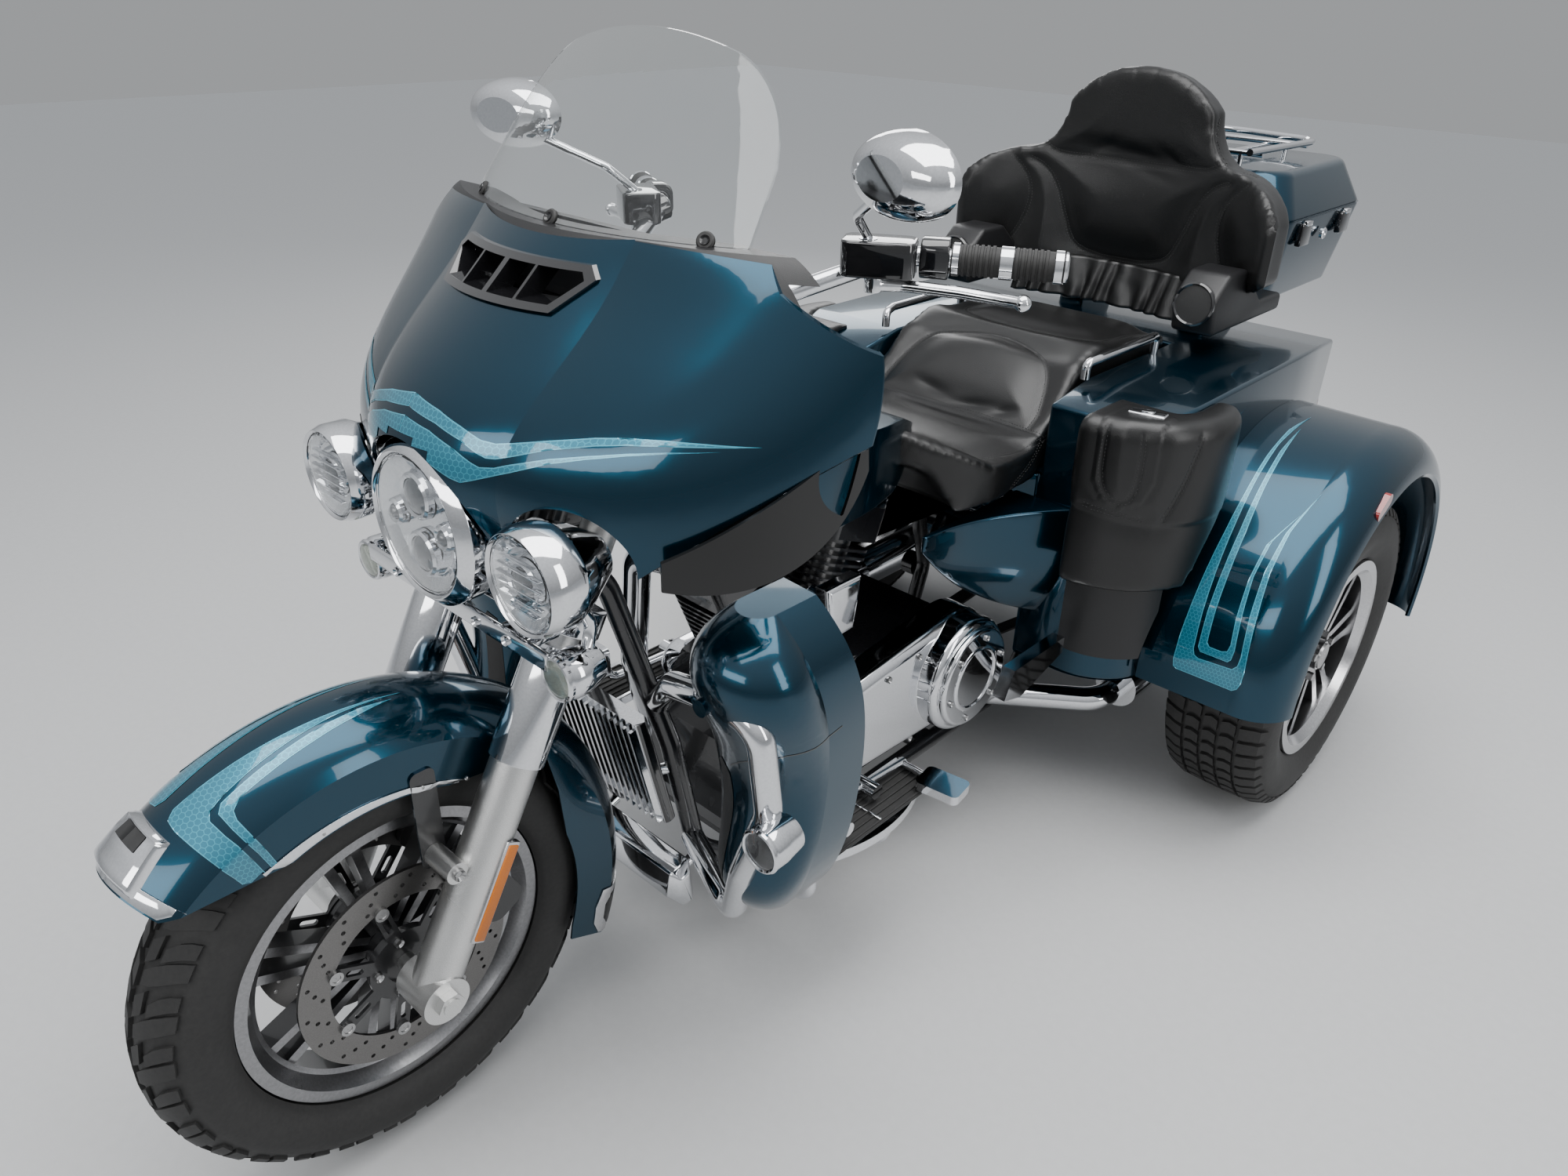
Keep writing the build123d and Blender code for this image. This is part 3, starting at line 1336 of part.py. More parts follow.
shield_radius = 480.0
shield_slope = 0.8
shield_base_y = -662.0
shield_base_z = 1215.0
shield_thickness = 4.0
with BuildPart() as windshield:
    low = 1190.0
    high = overall_height + 20
    for radius, mode in ((shield_radius, Mode.ADD), (shield_radius - shield_thickness, Mode.SUBTRACT)):
        with BuildPart(mode=Mode.PRIVATE) as form:
            for level in (low, high):
                centre = shield_base_y + shield_slope * (level - shield_base_z) + shield_radius
                with BuildSketch(Plane.XY.offset(level)):
                    with Locations((0, centre)):
                        Circle(radius)
            loft()
        add(form.part, mode=mode)
    with BuildSketch(Plane.XZ.offset(300)):
        with BuildLine():
            Line((-262, 1208), (262, 1208))
            Line((262, 1208), (250, 1290))
            ThreePointArc((250, 1290), (214, 1362), (150, 1408))
            ThreePointArc((150, 1408), (0, overall_height), (-150, 1408))
            ThreePointArc((-150, 1408), (-214, 1362), (-250, 1290))
            Line((-250, 1290), (-262, 1208))
        make_face()
    extrude(amount=500, mode=Mode.INTERSECT)
write(windshield, "windshield")

# Inner fairing: the dash that closes the shell towards the rider

with BuildPart() as fairing_inner:
    add(fairing_form(fairing_wall + seat_clearance, 0))
    with BuildSketch(Plane.YZ.offset(-500)):
        with BuildLine():
            Polyline((-720, 930), (-640, 1020), (-610, 1130), (-600, 1216), (-588, 1216), (-596, 1130),
                     (-624, 1012), (-704, 922), (-720, 930))
        make_face()
    extrude(amount=1000, mode=Mode.INTERSECT)
    with BuildSketch(Plane.XZ.offset(450)):
        with Locations((0, 1000)):
            RectangleRounded(370, 240, 30)
    extrude(amount=400, mode=Mode.SUBTRACT)
    with BuildPart(mode=Mode.PRIVATE) as ledge:
        add(fairing_form(fairing_wall + seat_clearance, 0))
        add(fairing_form(fairing_wall + 40, 2), mode=Mode.SUBTRACT)
        with BuildSketch(Plane.XY.offset(1198)):
            with Locations((0, -640)):
                Rectangle(900, 140)
        extrude(amount=24, mode=Mode.INTERSECT)
    add(ledge.part)
    for side in (-1, 1):
        add(bar((side * 200, -632, 1016), (side * 130, -629, 1010), 10))
    add(triple_clamps.part, mode=Mode.SUBTRACT)
    add(fork_legs.part, mode=Mode.SUBTRACT)
    add(fairing_outer.part, mode=Mode.SUBTRACT)
    add(windshield.part, mode=Mode.SUBTRACT)
write(fairing_inner, "fairing_inner")

# Handlebar, grips, controls and mirrors

bar_route = [(-412, -165, 1166), (-232, -272, 1168), (-150, -430, 1120), (-95, -556, 1088),
             (95, -556, 1088), (150, -430, 1120), (232, -272, 1168), (412, -165, 1166)]
bar_radius = 12.7
grip_radius = 19.0
with BuildPart() as handlebar:
    add(bent_bar(bar_route, [40, 60, 50, 50, 60, 40], bar_radius))
    for side in (-1, 1):
        foot = fork_point(0, upper_clamp + clamp_thickness) + Vector(side * 50, 0, 0)
        add(bar((side * 50, -556, 1088), foot, 15))
    add(triple_clamps.part, mode=Mode.SUBTRACT)
write(handlebar, "handlebar")


def grip_point(side, share):
    """Point on a grip's axis: 0 at the bend, 1 at the bar's end."""
    inner = Vector(side * 232, -272, 1168)
    outer = Vector(side * 412, -165, 1166)
    return inner + (outer - inner) * share


with BuildPart() as grips:
    for side in (-1, 1):
        add(bar(grip_point(side, 0.33), grip_point(side, 0.98), grip_radius, bar_radius))
        add(bar(grip_point(side, 1.0), grip_point(side, 1.02), grip_radius))
        add(bar(grip_point(side, 0.98), grip_point(side, 1.0), grip_radius, bar_radius))
write(grips, "grips")

with BuildPart() as hand_controls:
    for side in (-1, 1):
        start = grip_point(side, 0.14)
        direction = grip_point(side, 1) - grip_point(side, 0)
        with BuildSketch(Plane(origin=start, x_dir=(0, 0, 1), z_dir=direction)):
            RectangleRounded(52, 44, 16)
        extrude(amount=38)
        with BuildSketch(Plane(origin=(side * 236, -318, 1150), x_dir=(1, 0, 0), z_dir=(0, 0, 1))):
            with Locations(Location((0, 0), side * 32)):
                RectangleRounded(96, 58, 14)
        extrude(amount=46)
        add(bar((side * 228, -300, 1160), (side * 222, -275, 1168), 20))
    add(bent_bar(bar_route, [40, 60, 50, 50, 60, 40], bar_radius), mode=Mode.SUBTRACT)
write(hand_controls, "hand_controls")

with BuildPart() as levers:
    for side in (-1, 1):
        add(bent_bar(
            [(side * 232, -322, 1137), (side * 262, -296, 1137), (side * 330, -268, 1136),
             (side * 405, -236, 1131)],
            [40, 120], 8))
        with Locations((side * 405, -236, 1131)):
            Sphere(11)
        with BuildSketch(Plane.XY.offset(1128)):
            with Locations((side * 232, -322)):
                Circle(12)
        extrude(amount=22)
write(levers, "levers")

mirror_x = 365.0
mirror_y = -430.0
mirror_z = 1298.0
with BuildPart() as mirrors:
    for side in (-1, 1):
        toe = radians(12)
        face = Plane(
            origin=(side * mirror_x, mirror_y, mirror_z), x_dir=(cos(toe), -side * sin(toe), 0),
            z_dir=(side * sin(toe), cos(toe), 0),
        )
        for depth, half_width, half_height in ((0, 79, 48), (-26, 74, 44), (-48, 40, 24)):
            with BuildSketch(face.offset(depth)):
                Ellipse(half_width, half_height)
        loft()
        add(bent_bar(
            [(side * 228, -332, 1196), (side * 240, -372, 1230), (side * 345, -452, 1282)], 30, 6))
        add(bar((side * 228, -332, 1190), (side * 228, -332, 1197), 12))
    add(hand_controls.part, mode=Mode.SUBTRACT)
write(mirrors, "mirrors")

# Smoked deflectors under the fairing's wings

with BuildPart() as wind_deflectors:
    for side in (-1, 1):
        with BuildSketch(Plane.XY.offset(700)):
            with BuildLine():
                ThreePointArc((side * 322, -772), (side * 388, -668), (side * 416, -540))
                Line((side * 416, -540), (side * 412, -540))
                ThreePointArc((side * 412, -540), (side * 384, -668), (side * 318, -770))
                Line((side * 318, -770), (side * 322, -772))
            make_face()
        extrude(amount=400)
    with BuildSketch(Plane.YZ.offset(-500)):
        with BuildLine():
            ThreePointArc((-772, 890), (-660, 892), (-540, 996))
            Line((-540, 996), (-545, 1050))
            ThreePointArc((-545, 1050), (-640, 1000), (-772, 925))
            Line((-772, 925), (-772, 890))
        make_face()
    extrude(amount=1000, mode=Mode.INTERSECT)
    add(fairing_form(-seat_clearance, 0), mode=Mode.SUBTRACT)
write(wind_deflectors, "wind_deflectors")

# Vent in the brow

with BuildPart() as fairing_vent:
    with BuildSketch(Plane.XZ.offset(600)):
        with BuildLine():
            Polyline(*vent_outline)
        make_face()
        with BuildLine():
            Polyline((-122, 1182), (-99, 1157), (99, 1157), (122, 1182), (114, 1190), (-114, 1190),
                     (-122, 1182))
        make_face(mode=Mode.SUBTRACT)
        with Locations((-52, 1173), (52, 1173)):
            Rectangle(4, 40)
        with Locations((0, 1173)):
            Rectangle(9, 40)
    extrude(amount=300)
    add(fairing_form(-6, 0), mode=Mode.INTERSECT)
    add(fairing_form(fairing_wall + 26, 0), mode=Mode.SUBTRACT)
write(fairing_vent, "fairing_vent")
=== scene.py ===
import bpy
import bmesh
from math import atan2, cos, degrees, exp, hypot, pi, radians, sin, sqrt
from mathutils import Matrix, Vector, noise
from mathutils.bvhtree import BVHTree
from mathutils.kdtree import KDTree


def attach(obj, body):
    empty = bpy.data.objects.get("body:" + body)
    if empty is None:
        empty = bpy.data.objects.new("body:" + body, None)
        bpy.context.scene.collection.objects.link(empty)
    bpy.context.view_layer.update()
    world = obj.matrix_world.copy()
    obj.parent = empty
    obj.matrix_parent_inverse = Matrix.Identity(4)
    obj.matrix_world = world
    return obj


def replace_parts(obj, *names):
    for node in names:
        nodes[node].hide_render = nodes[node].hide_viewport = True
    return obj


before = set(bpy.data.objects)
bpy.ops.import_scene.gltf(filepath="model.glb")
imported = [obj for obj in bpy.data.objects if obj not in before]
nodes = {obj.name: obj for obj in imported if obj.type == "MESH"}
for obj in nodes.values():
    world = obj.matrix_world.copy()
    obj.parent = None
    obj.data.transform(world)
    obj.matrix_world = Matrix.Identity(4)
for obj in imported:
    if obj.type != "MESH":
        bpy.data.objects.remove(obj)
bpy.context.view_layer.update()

# Camera: it stands where the photograph was taken from and looks down on the front left corner.
# Its place, turn and wide lens were solved from the wheels, lamps and mirrors.
look_azimuth = radians(42.5847)
look_elevation = radians(28.6037)
look_roll = radians(1.49636)
back = Vector((sin(look_azimuth) * cos(look_elevation), -cos(look_azimuth) * cos(look_elevation),
               sin(look_elevation)))
level = (-back).cross(Vector((0, 0, 1))).normalized()
upright = level.cross(-back)
right = cos(look_roll) * level + sin(look_roll) * upright
up = -sin(look_roll) * level + cos(look_roll) * upright
eye = bpy.data.objects.new("photo_camera", bpy.data.cameras.new("photo_camera"))
bpy.context.collection.objects.link(eye)
eye.data.lens = 26.1477
eye.data.sensor_width = 36.0
eye.data.clip_start = 0.05
eye.matrix_world = Matrix((
    (right.x, up.x, back.x, 1.15908), (right.y, up.y, back.y, -1.48572),
    (right.z, up.z, back.z, 1.49561), (0, 0, 0, 1)))
bpy.context.scene.camera = eye

# Studio: a pale plain floor, a pale backdrop that lightens upwards, and large soft lamps above.
# Camera, metal and glass see the pale background by Light Path, and only the soft light from
# round about is dimmer, so that the paint keeps its depth.


def new_material(name):
    """A node material that is empty but for its Principled shader."""
    mat = bpy.data.materials.new(name)
    mat.use_nodes = True
    return mat, mat.node_tree, mat.node_tree.nodes["Principled BSDF"]


def seen_directly(tree):
    """Socket that is 1 for rays from the camera, through glass or off metal, else 0."""
    rays = tree.nodes.new("ShaderNodeLightPath")
    share = rays.outputs["Is Camera Ray"]
    for kind in ("Is Transmission Ray", "Is Glossy Ray"):
        most = tree.nodes.new("ShaderNodeMath")
        most.operation = "MAXIMUM"
        tree.links.new(share, most.inputs[0])
        tree.links.new(rays.outputs[kind], most.inputs[1])
        share = most.outputs["Value"]
    return share


floor_mesh = bmesh.new()
bmesh.ops.create_grid(floor_mesh, x_segments=24, y_segments=24, size=14.0)
floor_data = bpy.data.meshes.new("studio_floor")
floor_mesh.to_mesh(floor_data)
floor_mesh.free()
floor = bpy.data.objects.new("studio_floor", floor_data)
bpy.context.collection.objects.link(floor)
floor.location.z = -0.0005
mat, tree, shader = new_material("studio_floor")
coords = tree.nodes.new("ShaderNodeTexCoord")
mottle = tree.nodes.new("ShaderNodeTexNoise")
mottle.inputs["Scale"].default_value = 60.0
mottle.inputs["Detail"].default_value = 4.0
tone = tree.nodes.new("ShaderNodeMapRange")
tone.inputs["To Min"].default_value = 0.50
tone.inputs["To Max"].default_value = 0.55
tree.links.new(coords.outputs["Object"], mottle.inputs["Vector"])
tree.links.new(mottle.outputs["Fac"], tone.inputs["Value"])
shade = tree.nodes.new("ShaderNodeMath")
shade.operation = "MULTIPLY"
dim = tree.nodes.new("ShaderNodeMapRange")
dim.inputs["To Min"].default_value = 0.38
dim.inputs["To Max"].default_value = 1.0
tree.links.new(seen_directly(tree), dim.inputs["Value"])
tree.links.new(tone.outputs["Result"], shade.inputs[0])
tree.links.new(dim.outputs["Result"], shade.inputs[1])
tree.links.new(shade.outputs["Value"], shader.inputs["Base Color"])
shader.inputs["Roughness"].default_value = 0.7
floor.data.materials.append(mat)

world = bpy.data.worlds.new("studio_sky")
bpy.context.scene.world = world
world.use_nodes = True
tree = world.node_tree
tree.nodes.clear()
out = tree.nodes.new("ShaderNodeOutputWorld")
direction = tree.nodes.new("ShaderNodeTexCoord")
split = tree.nodes.new("ShaderNodeSeparateXYZ")
ramp = tree.nodes.new("ShaderNodeValToRGB")
ramp.color_ramp.elements[0].position = 0.02
ramp.color_ramp.elements[0].color = (0.05, 0.05, 0.05, 1)
ramp.color_ramp.elements[1].position = 0.65
ramp.color_ramp.elements[1].color = (1.05, 1.10, 1.16, 1)
horizon = ramp.color_ramp.elements.new(0.18)
horizon.color = (0.17, 0.18, 0.18, 1)
sky = tree.nodes.new("ShaderNodeBackground")
sky.inputs["Strength"].default_value = 0.75
backdrop = tree.nodes.new("ShaderNodeBackground")
haze = tree.nodes.new("ShaderNodeValToRGB")
haze.color_ramp.elements[0].position = 0.0
haze.color_ramp.elements[0].color = (0.36, 0.37, 0.38, 1)
haze.color_ramp.elements[1].position = 0.85
haze.color_ramp.elements[1].color = (0.95, 0.97, 1.0, 1)
tree.links.new(split.outputs["Z"], haze.inputs["Fac"])
tree.links.new(haze.outputs["Color"], backdrop.inputs["Color"])
backdrop.inputs["Strength"].default_value = 1.0
pick = tree.nodes.new("ShaderNodeMixShader")
tree.links.new(direction.outputs["Generated"], split.inputs["Vector"])
tree.links.new(split.outputs["Z"], ramp.inputs["Fac"])
tree.links.new(ramp.outputs["Color"], sky.inputs["Color"])
tree.links.new(seen_directly(tree), pick.inputs["Fac"])
tree.links.new(sky.outputs["Background"], pick.inputs[1])
tree.links.new(backdrop.outputs["Background"], pick.inputs[2])
tree.links.new(pick.outputs["Shader"], out.inputs["Surface"])

for name, place, aim, width, depth, power in (
        ("lamp_above", (0.4, -0.2, 3.6), (0.0, 0.0, 0.6), 3.6, 2.4, 150.0),
        ("lamp_front", (0.6, -3.6, 2.3), (0.0, -0.6, 0.7), 2.6, 0.9, 40.0),
        ("lamp_left", (3.6, 0.2, 2.2), (0.3, 0.0, 0.6), 0.9, 2.8, 46.0),
        ("lamp_back", (-2.6, 3.0, 2.6), (0.0, 0.4, 0.8), 2.4, 1.2, 45.0)):
    lamp = bpy.data.objects.new(name, bpy.data.lights.new(name, "AREA"))
    bpy.context.collection.objects.link(lamp)
    lamp.data.shape = "RECTANGLE"
    lamp.data.size = width
    lamp.data.size_y = depth
    lamp.data.energy = power
    lamp.location = place
    lamp.rotation_euler = (Vector(aim) - Vector(place)).to_track_quat("-Z", "Y").to_euler()

# Painted bodywork: pressed steel and moulded panels in deep teal blue with a fine metallic flake
# under clear lacquer. The machine is clean, so only its colour and gloss vary a little.


def grain_group():
    """Shared node group: fine noise, coarse noise and a bump normal from the object's own place."""
    group = bpy.data.node_groups.new("grain", "ShaderNodeTree")
    group.interface.new_socket("Scale", in_out="INPUT", socket_type="NodeSocketFloat")
    group.interface.new_socket("Bump", in_out="INPUT", socket_type="NodeSocketFloat")
    group.interface.new_socket("Fine", in_out="OUTPUT", socket_type="NodeSocketFloat")
    group.interface.new_socket("Coarse", in_out="OUTPUT", socket_type="NodeSocketFloat")
    group.interface.new_socket("Normal", in_out="OUTPUT", socket_type="NodeSocketVector")
    source = group.nodes.new("NodeGroupInput")
    sink = group.nodes.new("NodeGroupOutput")
    place = group.nodes.new("ShaderNodeTexCoord")
    fine = group.nodes.new("ShaderNodeTexNoise")
    fine.inputs["Detail"].default_value = 3.0
    coarse = group.nodes.new("ShaderNodeTexNoise")
    coarse.inputs["Scale"].default_value = 9.0
    coarse.inputs["Detail"].default_value = 4.0
    bump = group.nodes.new("ShaderNodeBump")
    bump.inputs["Distance"].default_value = 0.001
    group.links.new(place.outputs["Object"], fine.inputs["Vector"])
    group.links.new(place.outputs["Object"], coarse.inputs["Vector"])
    group.links.new(source.outputs["Scale"], fine.inputs["Scale"])
    group.links.new(source.outputs["Bump"], bump.inputs["Strength"])
    group.links.new(fine.outputs["Fac"], bump.inputs["Height"])
    group.links.new(fine.outputs["Fac"], sink.inputs["Fine"])
    group.links.new(coarse.outputs["Fac"], sink.inputs["Coarse"])
    group.links.new(bump.outputs["Normal"], sink.inputs["Normal"])
    return group


grain = grain_group()


def finish(name, dark, light, rough, metallic=0.0, coat=0.0, scale=400.0, bump=0.05):
    """A surface whose colour and gloss vary with the shared grain."""
    mat, tree, shader = new_material(name)
    cell = tree.nodes.new("ShaderNodeGroup")
    cell.node_tree = grain
    cell.inputs["Scale"].default_value = scale
    cell.inputs["Bump"].default_value = bump
    blend = tree.nodes.new("ShaderNodeMix")
    blend.data_type = "RGBA"
    blend.inputs["A"].default_value = (*dark, 1)
    blend.inputs["B"].default_value = (*light, 1)
    gloss = tree.nodes.new("ShaderNodeMapRange")
    gloss.inputs["To Min"].default_value = rough[0]
    gloss.inputs["To Max"].default_value = rough[1]
    tree.links.new(cell.outputs["Fine"], blend.inputs["Factor"])
    tree.links.new(cell.outputs["Coarse"], gloss.inputs["Value"])
    tree.links.new(blend.outputs["Result"], shader.inputs["Base Color"])
    tree.links.new(gloss.outputs["Result"], shader.inputs["Roughness"])
    tree.links.new(cell.outputs["Normal"], shader.inputs["Normal"])
    shader.inputs["Metallic"].default_value = metallic
    shader.inputs["Coat Weight"].default_value = coat
    shader.inputs["Coat Roughness"].default_value = 0.03
    return mat, tree, shader


def dress(mat, *names):
    """Gives CAD nodes a material in place of the plain one."""
    for name in names:
        nodes[name].data.materials.clear()
        nodes[name].data.materials.append(mat)


body_paint = finish(
    "body_paint", (0.0001, 0.017, 0.033), (0.0003, 0.050, 0.088), (0.16, 0.23), 0.88, 0.6, 2600.0,
    0.0)[0]
dress(body_paint, "fairing_outer", "fuel_tank", "rear_body", "rear_fenders", "trunk_door",
      "topbox_tub", "topbox_lid", "side_panels")

# Frame, rear axle and engine block: welded tube and cast iron in black enamel.
# The cylinders' fins and the case are coated in the same black, so their chrome covers stand out.
black_paint = finish(
    "black_paint", (0.004, 0.004, 0.005), (0.012, 0.012, 0.014), (0.2, 0.35), 0.0, 0.6, 900.0, 0.03)[0]
dress(black_paint, "frame", "tank_console", "rear_axle", "cylinders", "engine_case", "triple_clamps",
      "levers")

# Chromed pieces: polished steel tube and castings, plated and bolted on.
# The handlebar, rack and rails are bent tube; the boards and pedals are castings.
chrome = finish(
    "chrome", (0.62, 0.63, 0.65), (0.80, 0.81, 0.83), (0.03, 0.10), 1.0, 0.0, 300.0, 0.004)[0]
dress(chrome, "fork_covers", "rocker_covers", "primary_cover", "engine_covers", "luggage_rack",
      "grab_rails", "engine_guard", "footboards", "foot_controls", "chin_cover", "lamp_shells",
      "handlebar")

# Rear shocks: air springs with bare cast alloy bodies.
# They stand on the axle and are bolted to the frame above it.
alloy = finish("alloy", (0.36, 0.36, 0.37), (0.56, 0.56, 0.57), (0.22, 0.42), 1.0, 0.0, 220.0, 0.05)[0]
dress(alloy, "shocks")

# Inner fairing, speaker pods and grilles: moulded black plastic with a fine texture.
# They clip and screw to the painted panels.
black_plastic = finish(
    "black_plastic", (0.004, 0.004, 0.0045), (0.010, 0.010, 0.011), (0.32, 0.48), 0.0, 0.0, 1400.0,
    0.25)[0]
dress(black_plastic, "fairing_inner", "hand_controls", "speaker_pods", "body_grilles")

# Windshield and wind deflectors: polycarbonate sheet, clear above and smoked beside the fork.
# The windshield is screwed to the fairing through its lower edge.
clear_sheet, tree, shader = finish(
    "clear_sheet", (0.92, 0.95, 0.95), (0.97, 0.98, 0.98), (0.0, 0.03), 0.0, 0.0, 20.0, 0.0)
shader.inputs["Transmission Weight"].default_value = 1.0
shader.inputs["IOR"].default_value = 1.1
shader.inputs["Coat Weight"].default_value = 0.6
shader.inputs["Coat Roughness"].default_value = 0.02
dress(clear_sheet, "windshield")
smoked_sheet = finish(
    "smoked_sheet", (0.002, 0.002, 0.002), (0.005, 0.005, 0.005), (0.06, 0.12), 0.0, 0.0, 20.0, 0.0)[0]
dress(smoked_sheet, "wind_deflectors")

# Stripes: lighter blue bands with a honeycomb net, laid under the lacquer as thin sheets.
# Each outline is drawn in the panel's own plan and dropped onto the painted form.


def honeycomb_group():
    """Shared node group: 1 on the walls of a honeycomb, 0 inside its cells."""
    group = bpy.data.node_groups.new("honeycomb", "ShaderNodeTree")
    group.interface.new_socket("Place", in_out="INPUT", socket_type="NodeSocketVector")
    group.interface.new_socket("Scale", in_out="INPUT", socket_type="NodeSocketFloat")
    group.interface.new_socket("Wall", in_out="INPUT", socket_type="NodeSocketFloat")
    group.interface.new_socket("Mask", in_out="OUTPUT", socket_type="NodeSocketFloat")
    source = group.nodes.new("NodeGroupInput")
    sink = group.nodes.new("NodeGroupOutput")

    def vector(operation, *inputs):
        node = group.nodes.new("ShaderNodeVectorMath")
        node.operation = operation
        for index, value in enumerate(inputs):
            if isinstance(value, tuple):
                node.inputs[index].default_value = value
            else:
                group.links.new(value, node.inputs[index])
        return node

    def number(operation, *inputs):
        node = group.nodes.new("ShaderNodeMath")
        node.operation = operation
        for index, value in enumerate(inputs):
            if isinstance(value, float):
                node.inputs[index].default_value = value
            else:
                group.links.new(value, node.inputs[index])
        return node.outputs["Value"]

    pitch = (1.0, 1.7320508, 1.0)
    half = (0.5, 0.8660254, 0.5)
    scaled = vector("SCALE", source.outputs["Place"])
    group.links.new(source.outputs["Scale"], scaled.inputs["Scale"])
    start = vector("ADD", scaled.outputs["Vector"], (500.0, 866.0254, 500.0)).outputs["Vector"]
    near = vector("SUBTRACT", vector("MODULO", start, pitch).outputs["Vector"], half).outputs["Vector"]
    moved = vector("SUBTRACT", start, half).outputs["Vector"]
    far = vector("SUBTRACT", vector("MODULO", moved, pitch).outputs["Vector"], half).outputs["Vector"]
    flat = (1.0, 1.0, 0.0)
    near = vector("MULTIPLY", near, flat).outputs["Vector"]
    far = vector("MULTIPLY", far, flat).outputs["Vector"]
    near_reach = vector("LENGTH", near).outputs["Value"]
    far_reach = vector("LENGTH", far).outputs["Value"]
    nearer = number("LESS_THAN", near_reach, far_reach)
    choose = group.nodes.new("ShaderNodeMix")
    choose.data_type = "VECTOR"
    group.links.new(nearer, choose.inputs["Factor"])
    group.links.new(far, choose.inputs["A"])
    group.links.new(near, choose.inputs["B"])
    folded = vector("ABSOLUTE", choose.outputs["Result"]).outputs["Vector"]
    slant = vector("DOT_PRODUCT", folded, (0.5, 0.8660254, 0.0)).outputs["Value"]
    parts = group.nodes.new("ShaderNodeSeparateXYZ")
    group.links.new(folded, parts.inputs["Vector"])
    reach = number("MAXIMUM", slant, parts.outputs["X"])
    limit = number("SUBTRACT", 0.5, source.outputs["Wall"])
    group.links.new(number("GREATER_THAN", reach, limit), sink.inputs["Mask"])
    return group


honeycomb = honeycomb_group()
stripe_paint, tree, shader = finish(
    "stripe_paint", (0.010, 0.150, 0.235), (0.020, 0.200, 0.290), (0.25, 0.32), 0.45, 1.0, 2600.0, 0.0)
net = tree.nodes.new("ShaderNodeGroup")
net.node_tree = honeycomb
net.inputs["Scale"].default_value = 140.0
net.inputs["Wall"].default_value = 0.07
place = tree.nodes.new("ShaderNodeUVMap")
line = tree.nodes.new("ShaderNodeMix")
line.data_type = "RGBA"
line.inputs["B"].default_value = (0.035, 0.30, 0.42, 1)
ground = [n for n in tree.nodes if n.bl_idname == "ShaderNodeMix" and n != line][0]
tree.links.new(place.outputs["UV"], net.inputs["Place"])
tree.links.new(net.outputs["Mask"], line.inputs["Factor"])
tree.links.new(ground.outputs["Result"], line.inputs["A"])
tree.links.new(line.outputs["Result"], shader.inputs["Base Color"])
pinline = finish(
    "stripe_edge", (0.05, 0.36, 0.50), (0.08, 0.42, 0.56), (0.25, 0.32), 0.3, 1.0, 2600.0, 0.0)[0]


def cast_tree(name):
    """A CAD node's surface for dropping points onto it."""
    return BVHTree.FromObject(nodes[name], bpy.context.evaluated_depsgraph_get())


def lay(name, outline, drop, metres, body, pitch, material, height):
    """A thin sheet cut to an outline of plan coordinates and dropped onto a form on both sides."""
    bm = bmesh.new()
    bm.faces.new([bm.verts.new((u, v, 0.0)) for u, v in outline])
    for axis, step in ((0, pitch[0]), (1, pitch[1])):
        values = [p[axis] for p in outline]
        cut = (int(min(values) / step) + (1 if min(values) > 0 else 0)) * step
        while cut < max(values):
            where = Vector((cut, 0, 0)) if axis == 0 else Vector((0, cut, 0))
            facing = Vector((1, 0, 0)) if axis == 0 else Vector((0, 1, 0))
            geometry = bm.verts[:] + bm.edges[:] + bm.faces[:]
            bmesh.ops.bisect_plane(bm, geom=geometry, plane_co=where, plane_no=facing)
            cut += step
    bmesh.ops.triangulate(bm, faces=bm.faces[:])
    flat = bm.loops.layers.uv.new("UVMap")
    for face in bm.faces:
        for loop in face.loops:
            loop[flat].uv = (loop.vert.co.x * metres[0], loop.vert.co.y * metres[1])
    lost = []
    for vert in bm.verts:
        hit, normal, outward = drop(vert.co.x, vert.co.y)
        if hit is None:
            lost.append(vert)
            continue
        if normal.dot(outward) < 0:
            normal = -normal
        vert.co = hit + normal * height
    bmesh.ops.delete(bm, geom=lost, context="VERTS")
    copy = bm.copy()
    bmesh.ops.mirror(copy, geom=copy.verts[:] + copy.edges[:] + copy.faces[:], axis="X", merge_dist=-1)
    data = bpy.data.meshes.new(name)
    copy.to_mesh(data)
    bm.free()
    copy.free()
    piece = bpy.data.objects.new(name, data)
    bpy.context.collection.objects.link(piece)
    for polygon in data.polygons:
        polygon.use_smooth = True
    data.materials.append(material)
    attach(piece, body)
    return piece


def border(outline, width):
    """The outline drawn in by a width, for the band that leaves a lighter edge."""
    count = len(outline)
    area = sum(outline[i - 1][0] * outline[i][1] - outline[i][0] * outline[i - 1][1]
               for i in range(count))
    turn = 1.0 if area > 0 else -1.0
    inner = []
    for i in range(count):
        a, b, c = Vector(outline[i - 1]), Vector(outline[i]), Vector(outline[(i + 1) % count])
        p, q = (b - a).normalized(), (c - b).normalized()
        n = Vector((-(p.y + q.y), p.x + q.x)) * turn
        if n.length < 0.3:
            inner.append(tuple(b))
            continue
        inner.append(tuple(b + n.normalized() * width))
    return inner

# The fairing's two stripes: chevrons over the nose that sweep back along the sides to long points.
# They are masked and sprayed in the stripes' blue, with a light line left along each border.
fairing_tree = cast_tree("fairing_outer")


def drop_front(u, v):
    """Onto the fairing from straight in front: u across, v up, in millimetres."""
    aim = Vector((0.0, 1.0, 0.0))
    hit, normal, index, far = fairing_tree.ray_cast(Vector((u / 1000, -1.6, v / 1000)), aim)
    return hit, normal, -aim


